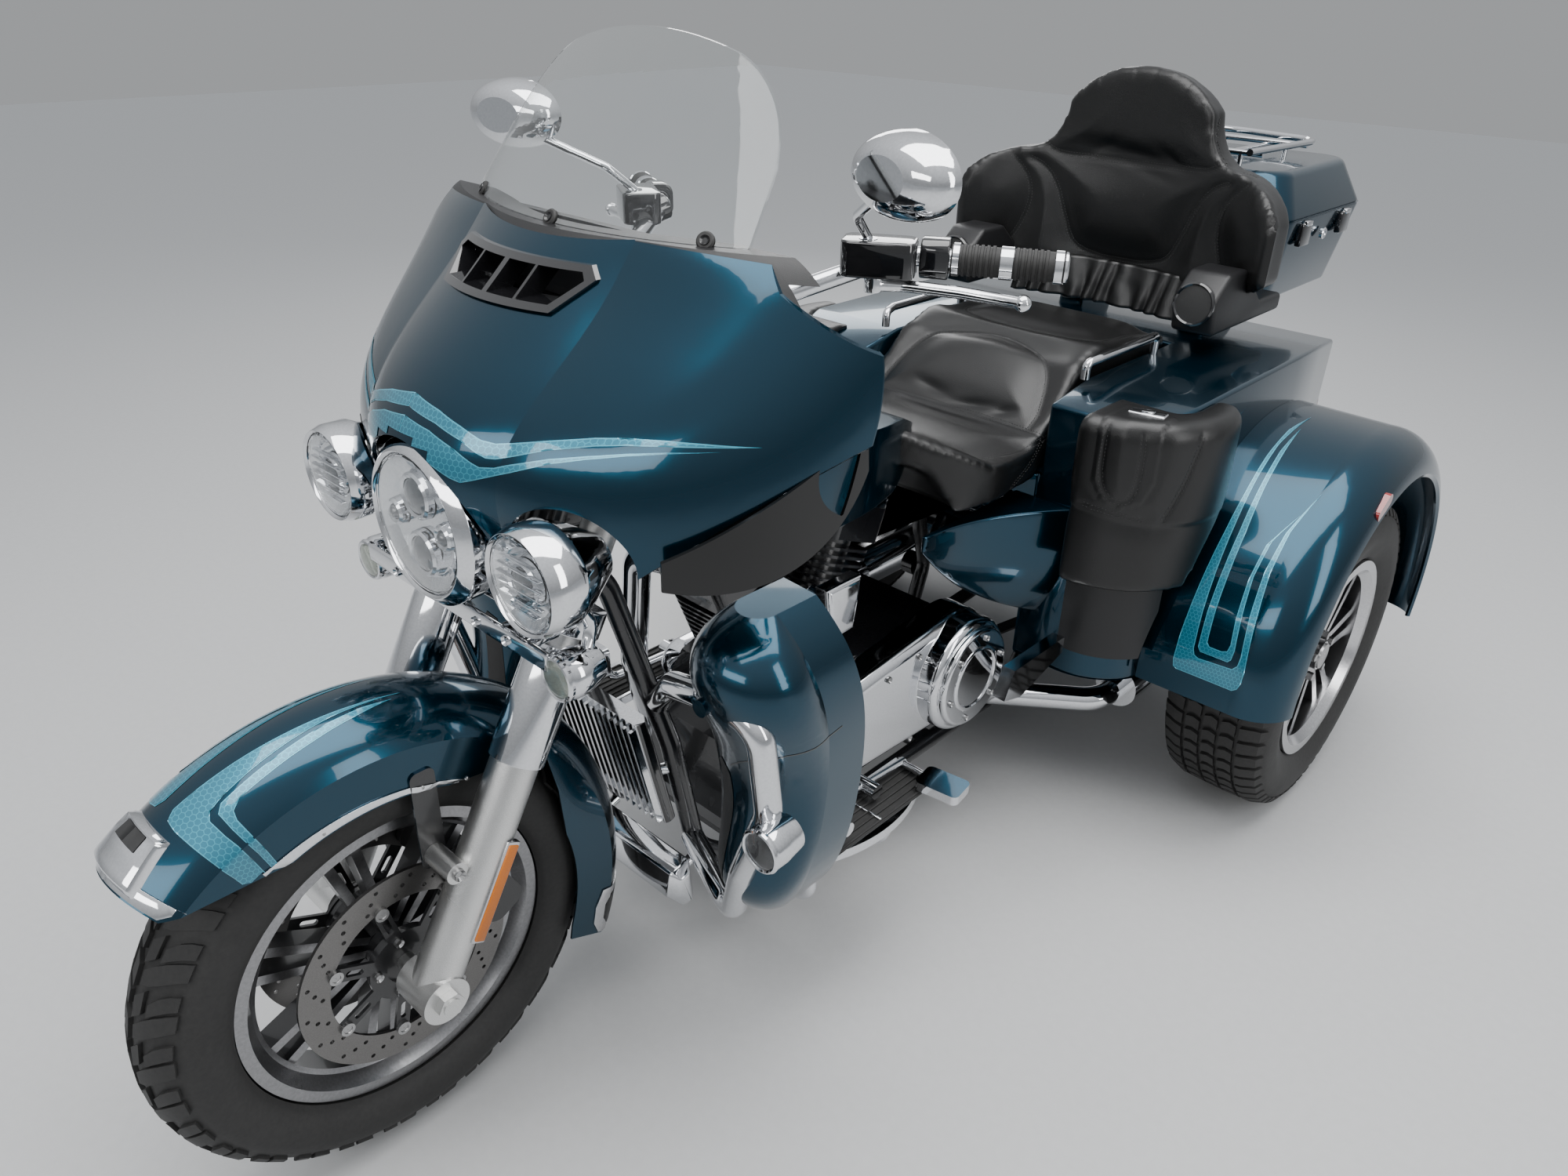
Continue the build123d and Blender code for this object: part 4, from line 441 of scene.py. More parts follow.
upper_stripe = [
    (0.0, 1058), (50, 1050), (86, 1040), (114, 1030), (130, 1028), (145, 1030), (185, 1039),
    (232, 1048), (261, 1051), (296, 1051), (328, 1049), (357, 1046), (369, 1044.5), (328, 1045),
    (297, 1045), (263, 1043.5), (235, 1040), (189, 1030), (148, 1016), (134, 1012), (124, 1012),
    (113, 1016), (92, 1026), (52, 1037), (0.0, 1044)]
lower_stripe = [
    (0.0, 1035), (48, 1029), (87, 1017), (109, 1006), (119, 1002), (134, 1003), (151, 1009),
    (193, 1022), (231, 1030), (266, 1036), (300, 1039.5), (342, 1041), (300, 1038), (267, 1033.5),
    (232, 1026.5), (195, 1017), (152, 1000), (111, 985), (99, 981), (86, 984), (60, 994), (30, 1001),
    (0.0, 1004)]
for name, outline in (("fairing_stripe_upper", upper_stripe), ("fairing_stripe_lower", lower_stripe)):
    lay(name + "_edge", outline, drop_front, (0.001, 0.001), "steering", (9.0, 9.0), pinline, 0.0005)
    lay(name, border(outline, 1.3), drop_front, (0.001, 0.001), "steering", (9.0, 9.0), stripe_paint,
        0.0009)

# The rear fenders' stripes: an open U low on the front of each crown, its legs drawn out to points.
# The outer band carries a narrower one inside it.
fender_tree = cast_tree("rear_fenders")
rear_degree = 7.2           # millimetres of the rear crown in one degree


def drop_rear(u, v):
    """Onto a rear fender from outside: u across in millimetres, v degrees up from straight ahead."""
    a = radians(v)
    aim = Vector((0.0, cos(a), -sin(a)))
    start = Vector((u / 1000, 0.705, 0.350)) - aim * 0.6
    hit, normal, index, far = fender_tree.ray_cast(start, aim)
    return hit, normal, -aim


outer_u = [
    (497, 88), (486, 78), (486, 66), (491, 53), (493, 42), (492, 32), (491, 23), (490, 15), (491, 8.6),
    (494, 6.9), (500, 6.4), (604, 6.4), (612, 7.2), (616, 9.0), (616, 12), (606, 23), (595, 36),
    (594, 47), (608, 59.5), (588, 46.5), (585, 36), (592, 25), (602, 15), (601, 12.8), (594, 11.6),
    (533, 11.1), (525, 11.6), (521, 13.0), (515, 22), (509, 34), (504, 44.5), (496, 58), (491, 71)]
inner_u = [
    (502, 80), (501, 69), (509, 55), (516, 43), (519, 33.5), (522, 22.6), (527, 13.8), (533, 12.8),
    (583, 12.8), (588, 13.6), (589, 16), (580, 24.6), (572, 34), (574, 43.4), (597, 52.7), (568, 42.2),
    (566, 33), (572, 23.3), (579, 17), (577, 15.3), (568, 14.8), (546, 14.8), (540, 15.6), (535, 23.3),
    (531, 34), (527, 43.5), (517, 55.7), (507, 71)]
for name, outline in (("rear_stripe_outer", outer_u), ("rear_stripe_inner", inner_u)):
    scaled = [(u, v * rear_degree) for u, v in outline]
    inner = [(u, v / rear_degree) for u, v in border(scaled, 1.5)]
    steps = (0.001, rear_degree / 1000)
    lay(name + "_edge", outline, drop_rear, steps, "chassis", (10.0, 1.5), pinline, 0.0005)
    lay(name, inner, drop_rear, steps, "chassis", (10.0, 1.5), stripe_paint, 0.0009)

# The front fender's stripes: chevrons near the tip whose inner ends run far back along the crown.
# A wide band leads, and a narrow one follows its bend.
crown_tree = cast_tree("front_fender")
fender_centre = Vector((0.0, -1.035, 0.315))
across_degree, along_degree = 1.6, 6.8      # millimetres of the front crown in one degree


def drop_crown(u, v, tree=crown_tree, away=0.2):
    """Onto the front fender: u degrees round its section, v degrees up from straight ahead."""
    a, b = radians(v), radians(u)
    outward = Vector((0.0, -cos(a), sin(a)))
    middle = fender_centre + outward * 0.300
    aim = -(outward * cos(b) + Vector((sin(b), 0.0, 0.0)))
    hit, normal, index, far = tree.ray_cast(middle - aim * away, aim)
    return hit, normal, -aim


front_stripe = [
    (15, 103.5), (16.5, 90), (19, 82), (22, 74.4), (24.5, 69), (27, 66), (32, 65), (46, 65), (56, 65.2),
    (70, 65.0), (96, 64.4), (96, 60.0), (70, 60.4), (55, 60.5), (38, 60.4), (20, 60.4), (10, 60.8),
    (6.5, 62.5), (7, 66), (9, 74), (11.5, 83), (14, 95)]
rear_stripe = [
    (19, 100.8), (24, 93), (28, 85), (31, 77), (33, 70.5), (37, 68.6), (43, 68), (70, 67.9), (96, 67.4),
    (96, 66.0), (70, 66.4), (46, 66.4), (32, 66.6), (27.5, 68), (26.5, 71), (24, 78), (20.5, 87),
    (18.5, 95)]
for name, outline in (("front_stripe_wide", front_stripe), ("front_stripe_narrow", rear_stripe)):
    scaled = [(u * across_degree, v * along_degree) for u, v in outline]
    inner = [(u / across_degree, v / along_degree) for u, v in border(scaled, 1.2)]
    steps = (across_degree / 1000, along_degree / 1000)
    lay(name + "_edge", outline, drop_crown, steps, "steering", (5.0, 1.5), pinline, 0.0005)
    lay(name, inner, drop_crown, steps, "steering", (5.0, 1.5), stripe_paint, 0.0009)

# Tyres: black rubber moulded round each rim, a narrow touring tyre in front and two car-like ones
# behind. The section is turned about the axle, and the crown carries rows of raised tread blocks.
rubber = finish(
    "rubber", (0.010, 0.010, 0.010), (0.028, 0.027, 0.026), (0.55, 0.78), 0.0, 0.0, 160.0, 0.25)[0]
dress(rubber, "front_tyre", "rear_tyre_left", "rear_tyre_right", "drive_belt", "grips")
front_axle = (0, -1015, 320)
rear_axles = {"left": (566, 655, 324), "right": (-566, 655, 324)}


def put(name, bm, material, body, sharp=35.0):
    """Makes an object of a finished mesh that rides on a body."""
    bmesh.ops.recalc_face_normals(bm, faces=bm.faces[:])
    data = bpy.data.meshes.new(name)
    bm.to_mesh(data)
    bm.free()
    for polygon in data.polygons:
        polygon.use_smooth = True
    data.set_sharp_from_angle(angle=radians(sharp))
    data.materials.append(material)
    piece = bpy.data.objects.new(name, data)
    bpy.context.collection.objects.link(piece)
    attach(piece, body)
    return piece


def turned(bm, profile, centre, axis=(1, 0, 0), steps=64, closed=True):
    """Adds a ring turned about an axis from (along, radius) points in millimetres."""
    axis = Vector(axis).normalized()
    side = axis.orthogonal().normalized()
    origin = Vector(centre) / 1000
    ring = [bm.verts.new(origin + (axis * a + side * r) / 1000) for a, r in profile]
    edges = [bm.edges.new((ring[i - 1], ring[i])) for i in range(0 if closed else 1, len(ring))]
    bmesh.ops.spin(bm, geom=ring + edges, cent=origin, axis=axis, angle=2 * pi, steps=steps,
                   use_merge=True)
    bmesh.ops.remove_doubles(bm, verts=bm.verts[:], dist=0.00002)


def tread(bm, centre, crown, blocks, count, depth):
    """Adds raised blocks: rows of (across, start, end), the last two in parts of a pitch."""
    def level(across):
        for (x0, r0), (x1, r1) in zip(crown, crown[1:]):
            if abs(across) <= x1 or x1 == crown[-1][0]:
                slope = (r1 - r0) / (x1 - x0)
                return r0 + slope * (abs(across) - x0), slope
    for pitch in range(count):
        for rows in blocks:
            corners, feet = [], []
            for across, start, end in rows:
                radius, slope = level(across)
                lean = Vector((-slope * (1 if across > 0 else -1), 1.0)).normalized() * depth
                for part in (start, end):
                    angle = 2 * pi * (pitch + part) / count
                    for store, x, r in ((corners, across, radius),
                                        (feet, across - lean.x, radius - lean.y)):
                        store.append(Vector((x, r * sin(angle), r * cos(angle))) + Vector(centre))
            verts = [bm.verts.new(corner / 1000) for corner in corners]
            top = [bm.faces.new((verts[i], verts[i + 1], verts[i + 3], verts[i + 2]))
                   for i in range(0, len(verts) - 2, 2)]
            bmesh.ops.extrude_face_region(bm, geom=top)
            bmesh.ops.delete(bm, geom=top, context="FACES")
            for vert, foot in zip(verts, feet):
                vert.co = foot / 1000


front_crown = [(x, 246.4 + sqrt(73.56 ** 2 - x * x)) for x in (0, 12, 24, 36, 48, 60)]
front_depth = 6.0
front_section = [(x, r - front_depth) for x, r in front_crown[:-1]]
front_section += [(57, 285), (62, 280), (65.5, 268), (66, 256), (64, 242), (58, 230), (53, 225),
                  (47, 221)]
front_section = [(-x, r) for x, r in reversed(front_section[1:])] + front_section
front_section += [(38, 225), (-38, 225)]
front_blocks = []
for flip in (1, -1):
    shift = 0.0 if flip > 0 else 0.5
    front_blocks.append([(flip * x, a + shift, b + shift) for x, a, b in (
        (9, 0.04, 0.30), (22, 0.10, 0.46), (36, 0.22, 0.60), (48, 0.34, 0.70), (57, 0.42, 0.76))])
    front_blocks.append([(flip * x, a + shift, b + shift) for x, a, b in (
        (27, 0.56, 0.80), (38, 0.68, 0.98), (48, 0.78, 1.08), (56, 0.84, 1.12))])
    front_blocks.append([(flip * x, a + shift, b + shift) for x, a, b in (
        (4, 0.40, 0.80), (19, 0.56, 0.98))])
bm = bmesh.new()
turned(bm, front_section, front_axle, steps=96)
tread(bm, front_axle, front_crown, front_blocks, 28, front_depth + 1)
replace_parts(put("front_tyre_tread", bm, rubber, "front_wheel"), "front_tyre")

rear_crown = [(0, 324.0), (66.5, 322.0), (89.5, 313.0), (99.0, 296.0)]
rear_depth = 7.0
rear_section = [(0, 317), (66, 315), (84, 308), (96, 296), (101, 282), (104.5, 262), (103, 246),
                (97, 232), (90, 212), (84, 206)]
rear_section = [(-x, r) for x, r in reversed(rear_section[1:])] + rear_section + [(70, 212), (-70, 212)]
rear_blocks = [[(-13, 0.06, 0.72), (0, 0.20, 0.86), (13, 0.06, 0.72)]]
for flip in (1, -1):
    shift = 0.0 if flip > 0 else 0.4
    rear_blocks.append([(flip * x, a + shift, b + shift) for x, a, b in (
        (20, 0.10, 0.78), (34, 0.22, 0.92), (47, 0.12, 0.82))])
    rear_blocks.append([(flip * x, a + shift, b + shift) for x, a, b in (
        (54, 0.05, 0.80), (66, 0.12, 0.88), (80, 0.16, 0.90), (89.5, 0.18, 0.88), (98, 0.20, 0.80))])
for label, centre in rear_axles.items():
    bm = bmesh.new()
    turned(bm, rear_section, centre, steps=96)
    tread(bm, centre, rear_crown, rear_blocks, 58, rear_depth + 1)
    tyre = put("rear_tyre_tread_" + label, bm, rubber, "rear_wheel_" + label)
    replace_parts(tyre, "rear_tyre_" + label)

# Wheels: cast spokes with machined faces and black pockets, bright rims on the rear, drilled discs.
# Hub bolts, centre caps and the discs' floating bobbins are screwed on top of the castings.


def dress_parts(name, materials, choose):
    """Gives a CAD node several materials, chosen from each face's centre and normal in millimetres."""
    data = nodes[name].data
    data.materials.clear()
    for material in materials:
        data.materials.append(material)
    for polygon in data.polygons:
        polygon.material_index = choose(polygon.center * 1000, polygon.normal)


machined = finish(
    "machined_alloy", (0.20, 0.20, 0.205), (0.34, 0.34, 0.35), (0.24, 0.36), 1.0, 0.35, 260.0, 0.03)[0]
bright_alloy = finish(
    "bright_alloy", (0.46, 0.46, 0.47), (0.66, 0.66, 0.67), (0.16, 0.28), 1.0, 0.0, 260.0, 0.02)[0]
pocket_black = finish(
    "pocket_black", (0.006, 0.006, 0.007), (0.016, 0.016, 0.017), (0.22, 0.4), 0.0, 0.5, 500.0, 0.03)[0]
disc_steel = finish(
    "disc_steel", (0.13, 0.125, 0.12), (0.24, 0.235, 0.23), (0.26, 0.4), 1.0, 0.0, 900.0, 0.08)[0]
screw_steel = finish(
    "screw_steel", (0.30, 0.30, 0.30), (0.48, 0.48, 0.48), (0.2, 0.35), 1.0, 0.0, 700.0, 0.03)[0]


def front_wheel_part(place, normal):
    radius = hypot(place.y - front_axle[1], place.z - front_axle[2])
    if radius > 186 or (abs(normal.x) > 0.7 and radius > 60):
        return 0
    return 1


def brake_disc_part(place, normal):
    return 0 if hypot(place.y - front_axle[1], place.z - front_axle[2]) > 107 else 1


def rear_wheel_part(place, normal):
    radius = hypot(place.y - 655, place.z - 324)
    if radius > 160:
        return 0
    return 0 if abs(normal.x) > 0.7 and abs(place.x) > 600 else 1


dress_parts("front_rim", (machined, pocket_black), front_wheel_part)
for label in ("left", "right"):
    dress_parts("rear_rim_" + label, (bright_alloy, pocket_black), rear_wheel_part)
dress_parts("brake_discs", (disc_steel, pocket_black), brake_disc_part)
dress(pocket_black, "brake_calipers")


def bolt(bm, place, axis, radius, height, sides=6, hollow=True):
    """Adds a bolt head: a prism, or a round socket head with a round hole sunk in its top."""
    axis = Vector(axis).normalized()
    turn = Vector((0, 0, 1)).rotation_difference(axis).to_matrix().to_4x4()
    where = Matrix.Translation(Vector(place) / 1000 + axis * height / 2000) @ turn
    count = sides if not hollow else 20
    made = bmesh.ops.create_cone(bm, cap_ends=True, segments=count, radius1=radius / 1000,
                                 radius2=radius * 0.94 / 1000, depth=height / 1000, matrix=where)
    if hollow:
        top = max((f for v in made["verts"] for f in v.link_faces if len(f.verts) == count),
                  key=lambda f: f.calc_center_median().dot(axis))
        bmesh.ops.inset_individual(bm, faces=[top], thickness=radius * 0.42 / 1000)
        bmesh.ops.translate(bm, verts=top.verts[:], vec=-axis * height * 0.6 / 1000)


bm = bmesh.new()
for side in (-1, 1):
    for index in range(7):
        angle = 2 * pi * index / 7
        spot = Vector((side * 67.0, 106 * cos(angle), 106 * sin(angle))) + Vector(front_axle)
        turned(bm, [(-3, 9.5), (2, 9.5), (2, 6), (0.5, 5.4), (0.5, 0.5), (-3, 0.5)], spot, steps=20)
    for index in range(5):
        angle = 2 * pi * (index + 0.4) / 5
        spot = Vector((side * 64.0, 43 * cos(angle), 43 * sin(angle))) + Vector(front_axle)
        bolt(bm, spot, (side, 0, 0), 6.5, 5)
put("front_wheel_bolts", bm, screw_steel, "front_wheel")
for label, centre in rear_axles.items():
    side = 1 if label == "left" else -1
    bm = bmesh.new()
    for index in range(5):
        angle = 2 * pi * (index + 0.25) / 5
        spot = Vector((side * 64.5, 46 * cos(angle), 46 * sin(angle))) + Vector(centre)
        bolt(bm, spot, (side, 0, 0), 9, 12, sides=6, hollow=False)
    cap_centre = Vector(centre) + Vector((side * 74, 0, 0))
    turned(bm, [(0, 27), (4, 26), (5, 20), (5, 0.5), (0, 0.5)], cap_centre, (side, 0, 0), 32)
    put("rear_wheel_bolts_" + label, bm, screw_steel, "rear_wheel_" + label)

# Backrest: black leather over foam, sewn from panels round a headrest and two side wings.
# The CAD piece is remeshed and relaxed, drawn in along its seams and swollen between them.
leather = finish(
    "leather", (0.0025, 0.0025, 0.0026), (0.007, 0.007, 0.007), (0.24, 0.38), 0.0, 0.0, 700.0, 0.35)[0]
dress(leather, "seat", "backrest", "fender_pouches")


def spaced(points, step=3.0):
    """Points at an even step in millimetres along a smooth curve through the given ones."""
    path = [Vector(p) for p in points]
    ends = [2 * path[0] - path[1], *path, 2 * path[-1] - path[-2]]
    out = []
    for p0, p1, p2, p3 in zip(ends, ends[1:], ends[2:], ends[3:]):
        count = max(1, round((p2 - p1).length / step))
        for i in range(count):
            t = i / count
            out.append(0.5 * (2 * p1 + (p2 - p0) * t + (2 * p0 - 5 * p1 + 4 * p2 - p3) * t * t
                              + (3 * p1 - p0 - 3 * p2 + p3) * t ** 3))
    return out + [path[-1]]


def both_sides(points):
    """A half outline from the middle outwards, joined to its mirror image."""
    return [(-p[0], *p[1:]) for p in reversed(points) if p[0] > 0.5] + list(points)


def softened(node, voxel, passes):
    """A CAD piece's surface remeshed evenly and relaxed until its edges are round."""
    rough = bpy.data.objects.new("rough", nodes[node].data.copy())
    bpy.context.collection.objects.link(rough)
    remesh = rough.modifiers.new("remesh", "REMESH")
    remesh.mode = "VOXEL"
    remesh.voxel_size = voxel
    graph = bpy.context.evaluated_depsgraph_get()
    data = bpy.data.meshes.new_from_object(rough.evaluated_get(graph))
    bpy.data.objects.remove(rough)
    bm = bmesh.new()
    bm.from_mesh(data)
    bpy.data.meshes.remove(data)
    for step in range(passes):
        bmesh.ops.smooth_vert(bm, verts=bm.verts[:], factor=0.5, use_axis_x=True, use_axis_y=True,
                              use_axis_z=True)
    bm.normal_update()
    return bm


def sewn(bm, seams, creases, weight, puff, reach=42.0):
    """Pulls the surface in at its seams and creases and swells it between the seams."""
    tree = BVHTree.FromBMesh(bm)
    lines = []
    for seam in seams:
        lines.append([tree.find_nearest(p / 1000)[0] * 1000 for p in seam])
    near = KDTree(sum(len(line) for line in lines))
    for index, point in enumerate(p for line in lines for p in line):
        near.insert(point, index)
    near.balance()
    moves = []
    for vert in bm.verts:
        place = vert.co * 1000
        far = near.find(place)[2]
        share = weight(place, vert.normal)
        rise = puff * share * (1 - exp(-(far / reach) ** 2))
        rise -= 2.6 * exp(-(far / 4.0) ** 2) * min(1, share * 3)
        for centre, along, length, width, depth in creases:
            offset = place - Vector(centre)
            run = offset.dot(Vector(along).normalized())
            side = sqrt(max(0.0, offset.length_squared - run * run))
            rise -= depth * exp(-(run / length) ** 2 - (side / width) ** 2) * share
        moves.append(vert.normal * rise / 1000)
    for vert, move in zip(bm.verts, moves):
        vert.co += move
    return lines


def stitches(name, tree, lines, aside=3.2):
    """Short threads in two rows beside each seam."""
    bm = bmesh.new()
    for line in lines:
        walked = 0.0
        for a, b in zip(line, line[1:]):
            walked += (b - a).length
            if walked < 5.0:
                continue
            walked = 0.0
            along = (b - a).normalized()
            hit, normal = tree.find_nearest((a / 1000))[:2]
            if hit is None:
                continue
            across = normal.cross(along).normalized()
            for side in (-1, 1):
                spot = tree.find_nearest((a + across * aside * side) / 1000)[0]
                centre = spot + normal * 0.0002
                corners = []
                for u, v, w in ((-1.5, -0.5, 0), (1.5, -0.5, 0), (1.5, 0.5, 0), (-1.5, 0.5, 0),
                                (0, 0, 0.9)):
                    corners.append(bm.verts.new(centre + (along * u + across * v + normal * w) / 1000))
                for i in range(4):
                    bm.faces.new((corners[i], corners[(i + 1) % 4], corners[4]))
    put(name, bm, thread, "chassis")


def inside(outline, u, v):
    """True where a point lies inside an outline."""
    odd = False
    for (x0, y0), (x1, y1) in zip(outline, outline[1:] + outline[:1]):
        if (y0 > v) != (y1 > v) and u < (x1 - x0) * (v - y0) / (y1 - y0) + x0:
            odd = not odd
    return odd


thread = finish(
    "thread", (0.012, 0.012, 0.012), (0.04, 0.04, 0.04), (0.5, 0.7), 0.0, 0.0, 2000.0, 0.1)[0]
backrest_seams = [
    spaced([(x, 780, z) for x, z in both_sides([(0, 1160), (90, 1163), (160, 1166), (206, 1184)])]),
    spaced([(x, 780, z) for x, z in both_sides(
        [(0, 966), (62, 970), (108, 990), (134, 1040), (160, 1100), (196, 1138), (262, 1160)])]),
    spaced([(204, 772, 1184), (192, 790, 1232), (168, 812, 1268)]),
    spaced([(-204, 772, 1184), (-192, 790, 1232), (-168, 812, 1268)]),
    spaced([(262, 740, 1160), (222, 760, 1112), (214, 764, 1060), (232, 752, 1000), (262, 740, 958)]),
    spaced([(-262, 740, 1160), (-222, 760, 1112), (-214, 764, 1060), (-232, 752, 1000),
            (-262, 740, 958)])]
backrest_creases = [
    ((0, 790, 1176), (1, 0, -0.12), 90, 16, 9), ((-62, 788, 1190), (1, 0, 0.5), 34, 10, 5),
    ((66, 788, 1186), (1, 0, -0.6), 34, 10, 5), ((24, 792, 1148), (1, 0, -0.2), 60, 9, 4)]
bm = softened("backrest", 0.0065, 9)
lines = sewn(bm, backrest_seams, backrest_creases,
             lambda place, normal: min(1.0, max(0.0, 0.25 - normal.y)), 15.0, 48.0)
tree = BVHTree.FromBMesh(bm)
backrest = put("backrest_cushion", bm, leather, "chassis", 60)
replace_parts(backrest, "backrest")
stitches("backrest_stitches", tree, lines)

# Seat: a low bucket for the rider and a raised pad for the passenger, in one leather cover.
# The seams follow the bucket's rim and the pad's border, and the foam swells between them.
seat_seams = [
    spaced(both_sides([(0, 372, 891), (86, 352, 885), (140, 314, 862), (168, 262, 810),
                       (172, 222, 785)])),
    spaced(both_sides([(0, 222, 781), (70, 222, 781), (150, 219, 782), (205, 222, 772)])),
    spaced(both_sides([(0, -36, 800), (86, -30, 800), (150, 20, 785), (186, 110, 765), (203, 222, 770),
                       (206, 300, 790)])),
    spaced([(206, 222, 770), (206, 180, 735), (208, 110, 706), (204, 40, 690)]),
    spaced([(-206, 222, 770), (-206, 180, 735), (-208, 110, 706), (-204, 40, 690)]),
    spaced(both_sides([(0, 430, 893), (90, 440, 890), (152, 470, 888), (166, 560, 884),
                       (170, 640, 874)]))]
seat_creases = [
    ((40, 236, 790), (1, 0.2, 0), 60, 9, 5), ((-60, 246, 796), (1, -0.25, 0), 46, 9, 5),
    ((0, 208, 776), (1, 0, 0), 80, 8, 3), ((110, 240, 792), (1, 0.5, 0), 30, 8, 4)]
bm = softened("seat", 0.0065, 10)
lines = sewn(bm, seat_seams, seat_creases,
             lambda place, normal: min(1.0, max(0.0, normal.z + 0.35)) if place.z > 720 else 0.35,
             13.0, 40.0)
tree = BVHTree.FromBMesh(bm)
seat = put("seat_cushion", bm, leather, "chassis", 60)
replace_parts(seat, "seat")
stitches("seat_stitches", tree, lines)

# Gathered skirt between the seat and the backrest: soft leather in upright folds.
# It is sewn under the backrest's lower edge and hangs a little forward onto the seat.
bm = bmesh.new()
bmesh.ops.create_grid(bm, x_segments=150, y_segments=14, size=1.0)
for vert in bm.verts:
    x, drop = 215 * vert.co.x, (vert.co.y + 1) / 2
    fold = 5.0 * sin(x * 0.16 + 1.6 * sin(x * 0.045 + drop * 2.0)) * (0.35 + 0.65 * drop)
    fold += 2.5 * noise.noise(Vector((x * 0.03, drop * 3.0, 4.0)))
    vert.co = Vector((x, 792 - (x / 345) ** 2 * 96 + fold - 26 * drop, 962 - 84 * drop)) / 1000
skirt = put("backrest_skirt", bm, leather, "chassis", 80)
solid = skirt.modifiers.new("thickness", "SOLIDIFY")
solid.thickness = 0.003
solid.offset = 1.0

# Pouches: leather bags strapped to the body's front corners, each with a flap and a plated latch.
# The flap stands proud of the bag, and the strap lies over the flap down to its buckle.
pouch_strap = [(340, 870), (343, 760), (362, 724), (392, 716), (416, 726), (428, 770), (424, 870)]
flap_edge = [(300, 704), (340, 700), (395, 693), (449, 686), (520, 684)]
bm = softened("fender_pouches", 0.005, 7)
moves = []
for vert in bm.verts:
    place = vert.co * 1000
    edge = next(z0 + (z1 - z0) * (abs(place.x) - x0) / (x1 - x0)
                for (x0, z0), (x1, z1) in zip(flap_edge, flap_edge[1:]) if abs(place.x) <= x1)
    out = 4.0 / (1.0 + exp(-(place.z - edge) / 1.2))
    if place.y < 250 and inside(pouch_strap, abs(place.x), place.z):
        out += 3.0
    front = min(1.0, max(0.0, 0.6 - vert.normal.y))
    moves.append(vert.normal * out * front / 1000)
for vert, move in zip(bm.verts, moves):
    vert.co += move
pouch_seams = []
for side in (-1, 1):
    loop = [(side * x, 168, z) for x, z in ((349, 850), (352, 770), (368, 734), (392, 726), (410, 736),
                                            (419, 775), (416, 850))]
    pouch_seams.append(spaced(loop))
    pouch_seams.append(spaced([(side * x, 175, z) for x, z in (
        (318, 712), (345, 708), (395, 701), (446, 694))]))
    pouch_seams.append(spaced([(side * 446, 220, 694), (side * 462, 240, 760), (side * 464, 262, 840)]))
lines = sewn(bm, pouch_seams, [], lambda place, normal: min(1.0, max(0.0, 0.3 - normal.y)), 5.0, 30.0)
tree = BVHTree.FromBMesh(bm)
pouches = put("pouch_leather", bm, leather, "chassis", 60)
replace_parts(pouches, "fender_pouches")
stitches("pouch_stitches", tree, lines)
bm = bmesh.new()
for side in (-1, 1):
    turn = Matrix.Rotation(radians(side * 10), 4, "Z")
    turn = Matrix.Translation((side * 0.382, 0.236, 0.861)) @ turn
    for lift, block, offset, segments in ((0.0, (0.062, 0.026, 0.009), 0.003, 3),
                                          (0.004, (0.020, 0.016, 0.006), 0.002, 2)):
        where = turn @ Matrix.Translation((0, 0, lift)) @ Matrix.Diagonal((*block, 1))
        made = bmesh.ops.create_cube(bm, size=1.0, matrix=where)
        bmesh.ops.bevel(bm, geom=list({e for v in made["verts"] for e in v.link_edges}), offset=offset,
                        segments=segments, profile=0.5, affect="EDGES", material=-1)
put("pouch_latches", bm, chrome, "chassis")

# Headlamp and fog lamps: thin domed glass over bright faceted reflectors.
# Projector lenses and rings are turned, the fog lamps' ribs moulded; all sit inside the chrome bezels.
forward = (0, -1, 0)


def slab(bm, low, high, round_off, place=None):
    """Adds a block between two corners in millimetres with its edges rounded."""
    low, high = Vector(low) / 1000, Vector(high) / 1000
    where = Matrix.Translation((low + high) / 2) @ Matrix.Diagonal((*(high - low), 1.0))
    made = bmesh.ops.create_cube(bm, size=1.0, matrix=(place or Matrix()) @ where)
    edges = list({e for v in made["verts"] for e in v.link_edges})
    bmesh.ops.bevel(bm, geom=edges, offset=round_off / 1000, segments=2, profile=0.5, affect="EDGES",
                    material=-1)


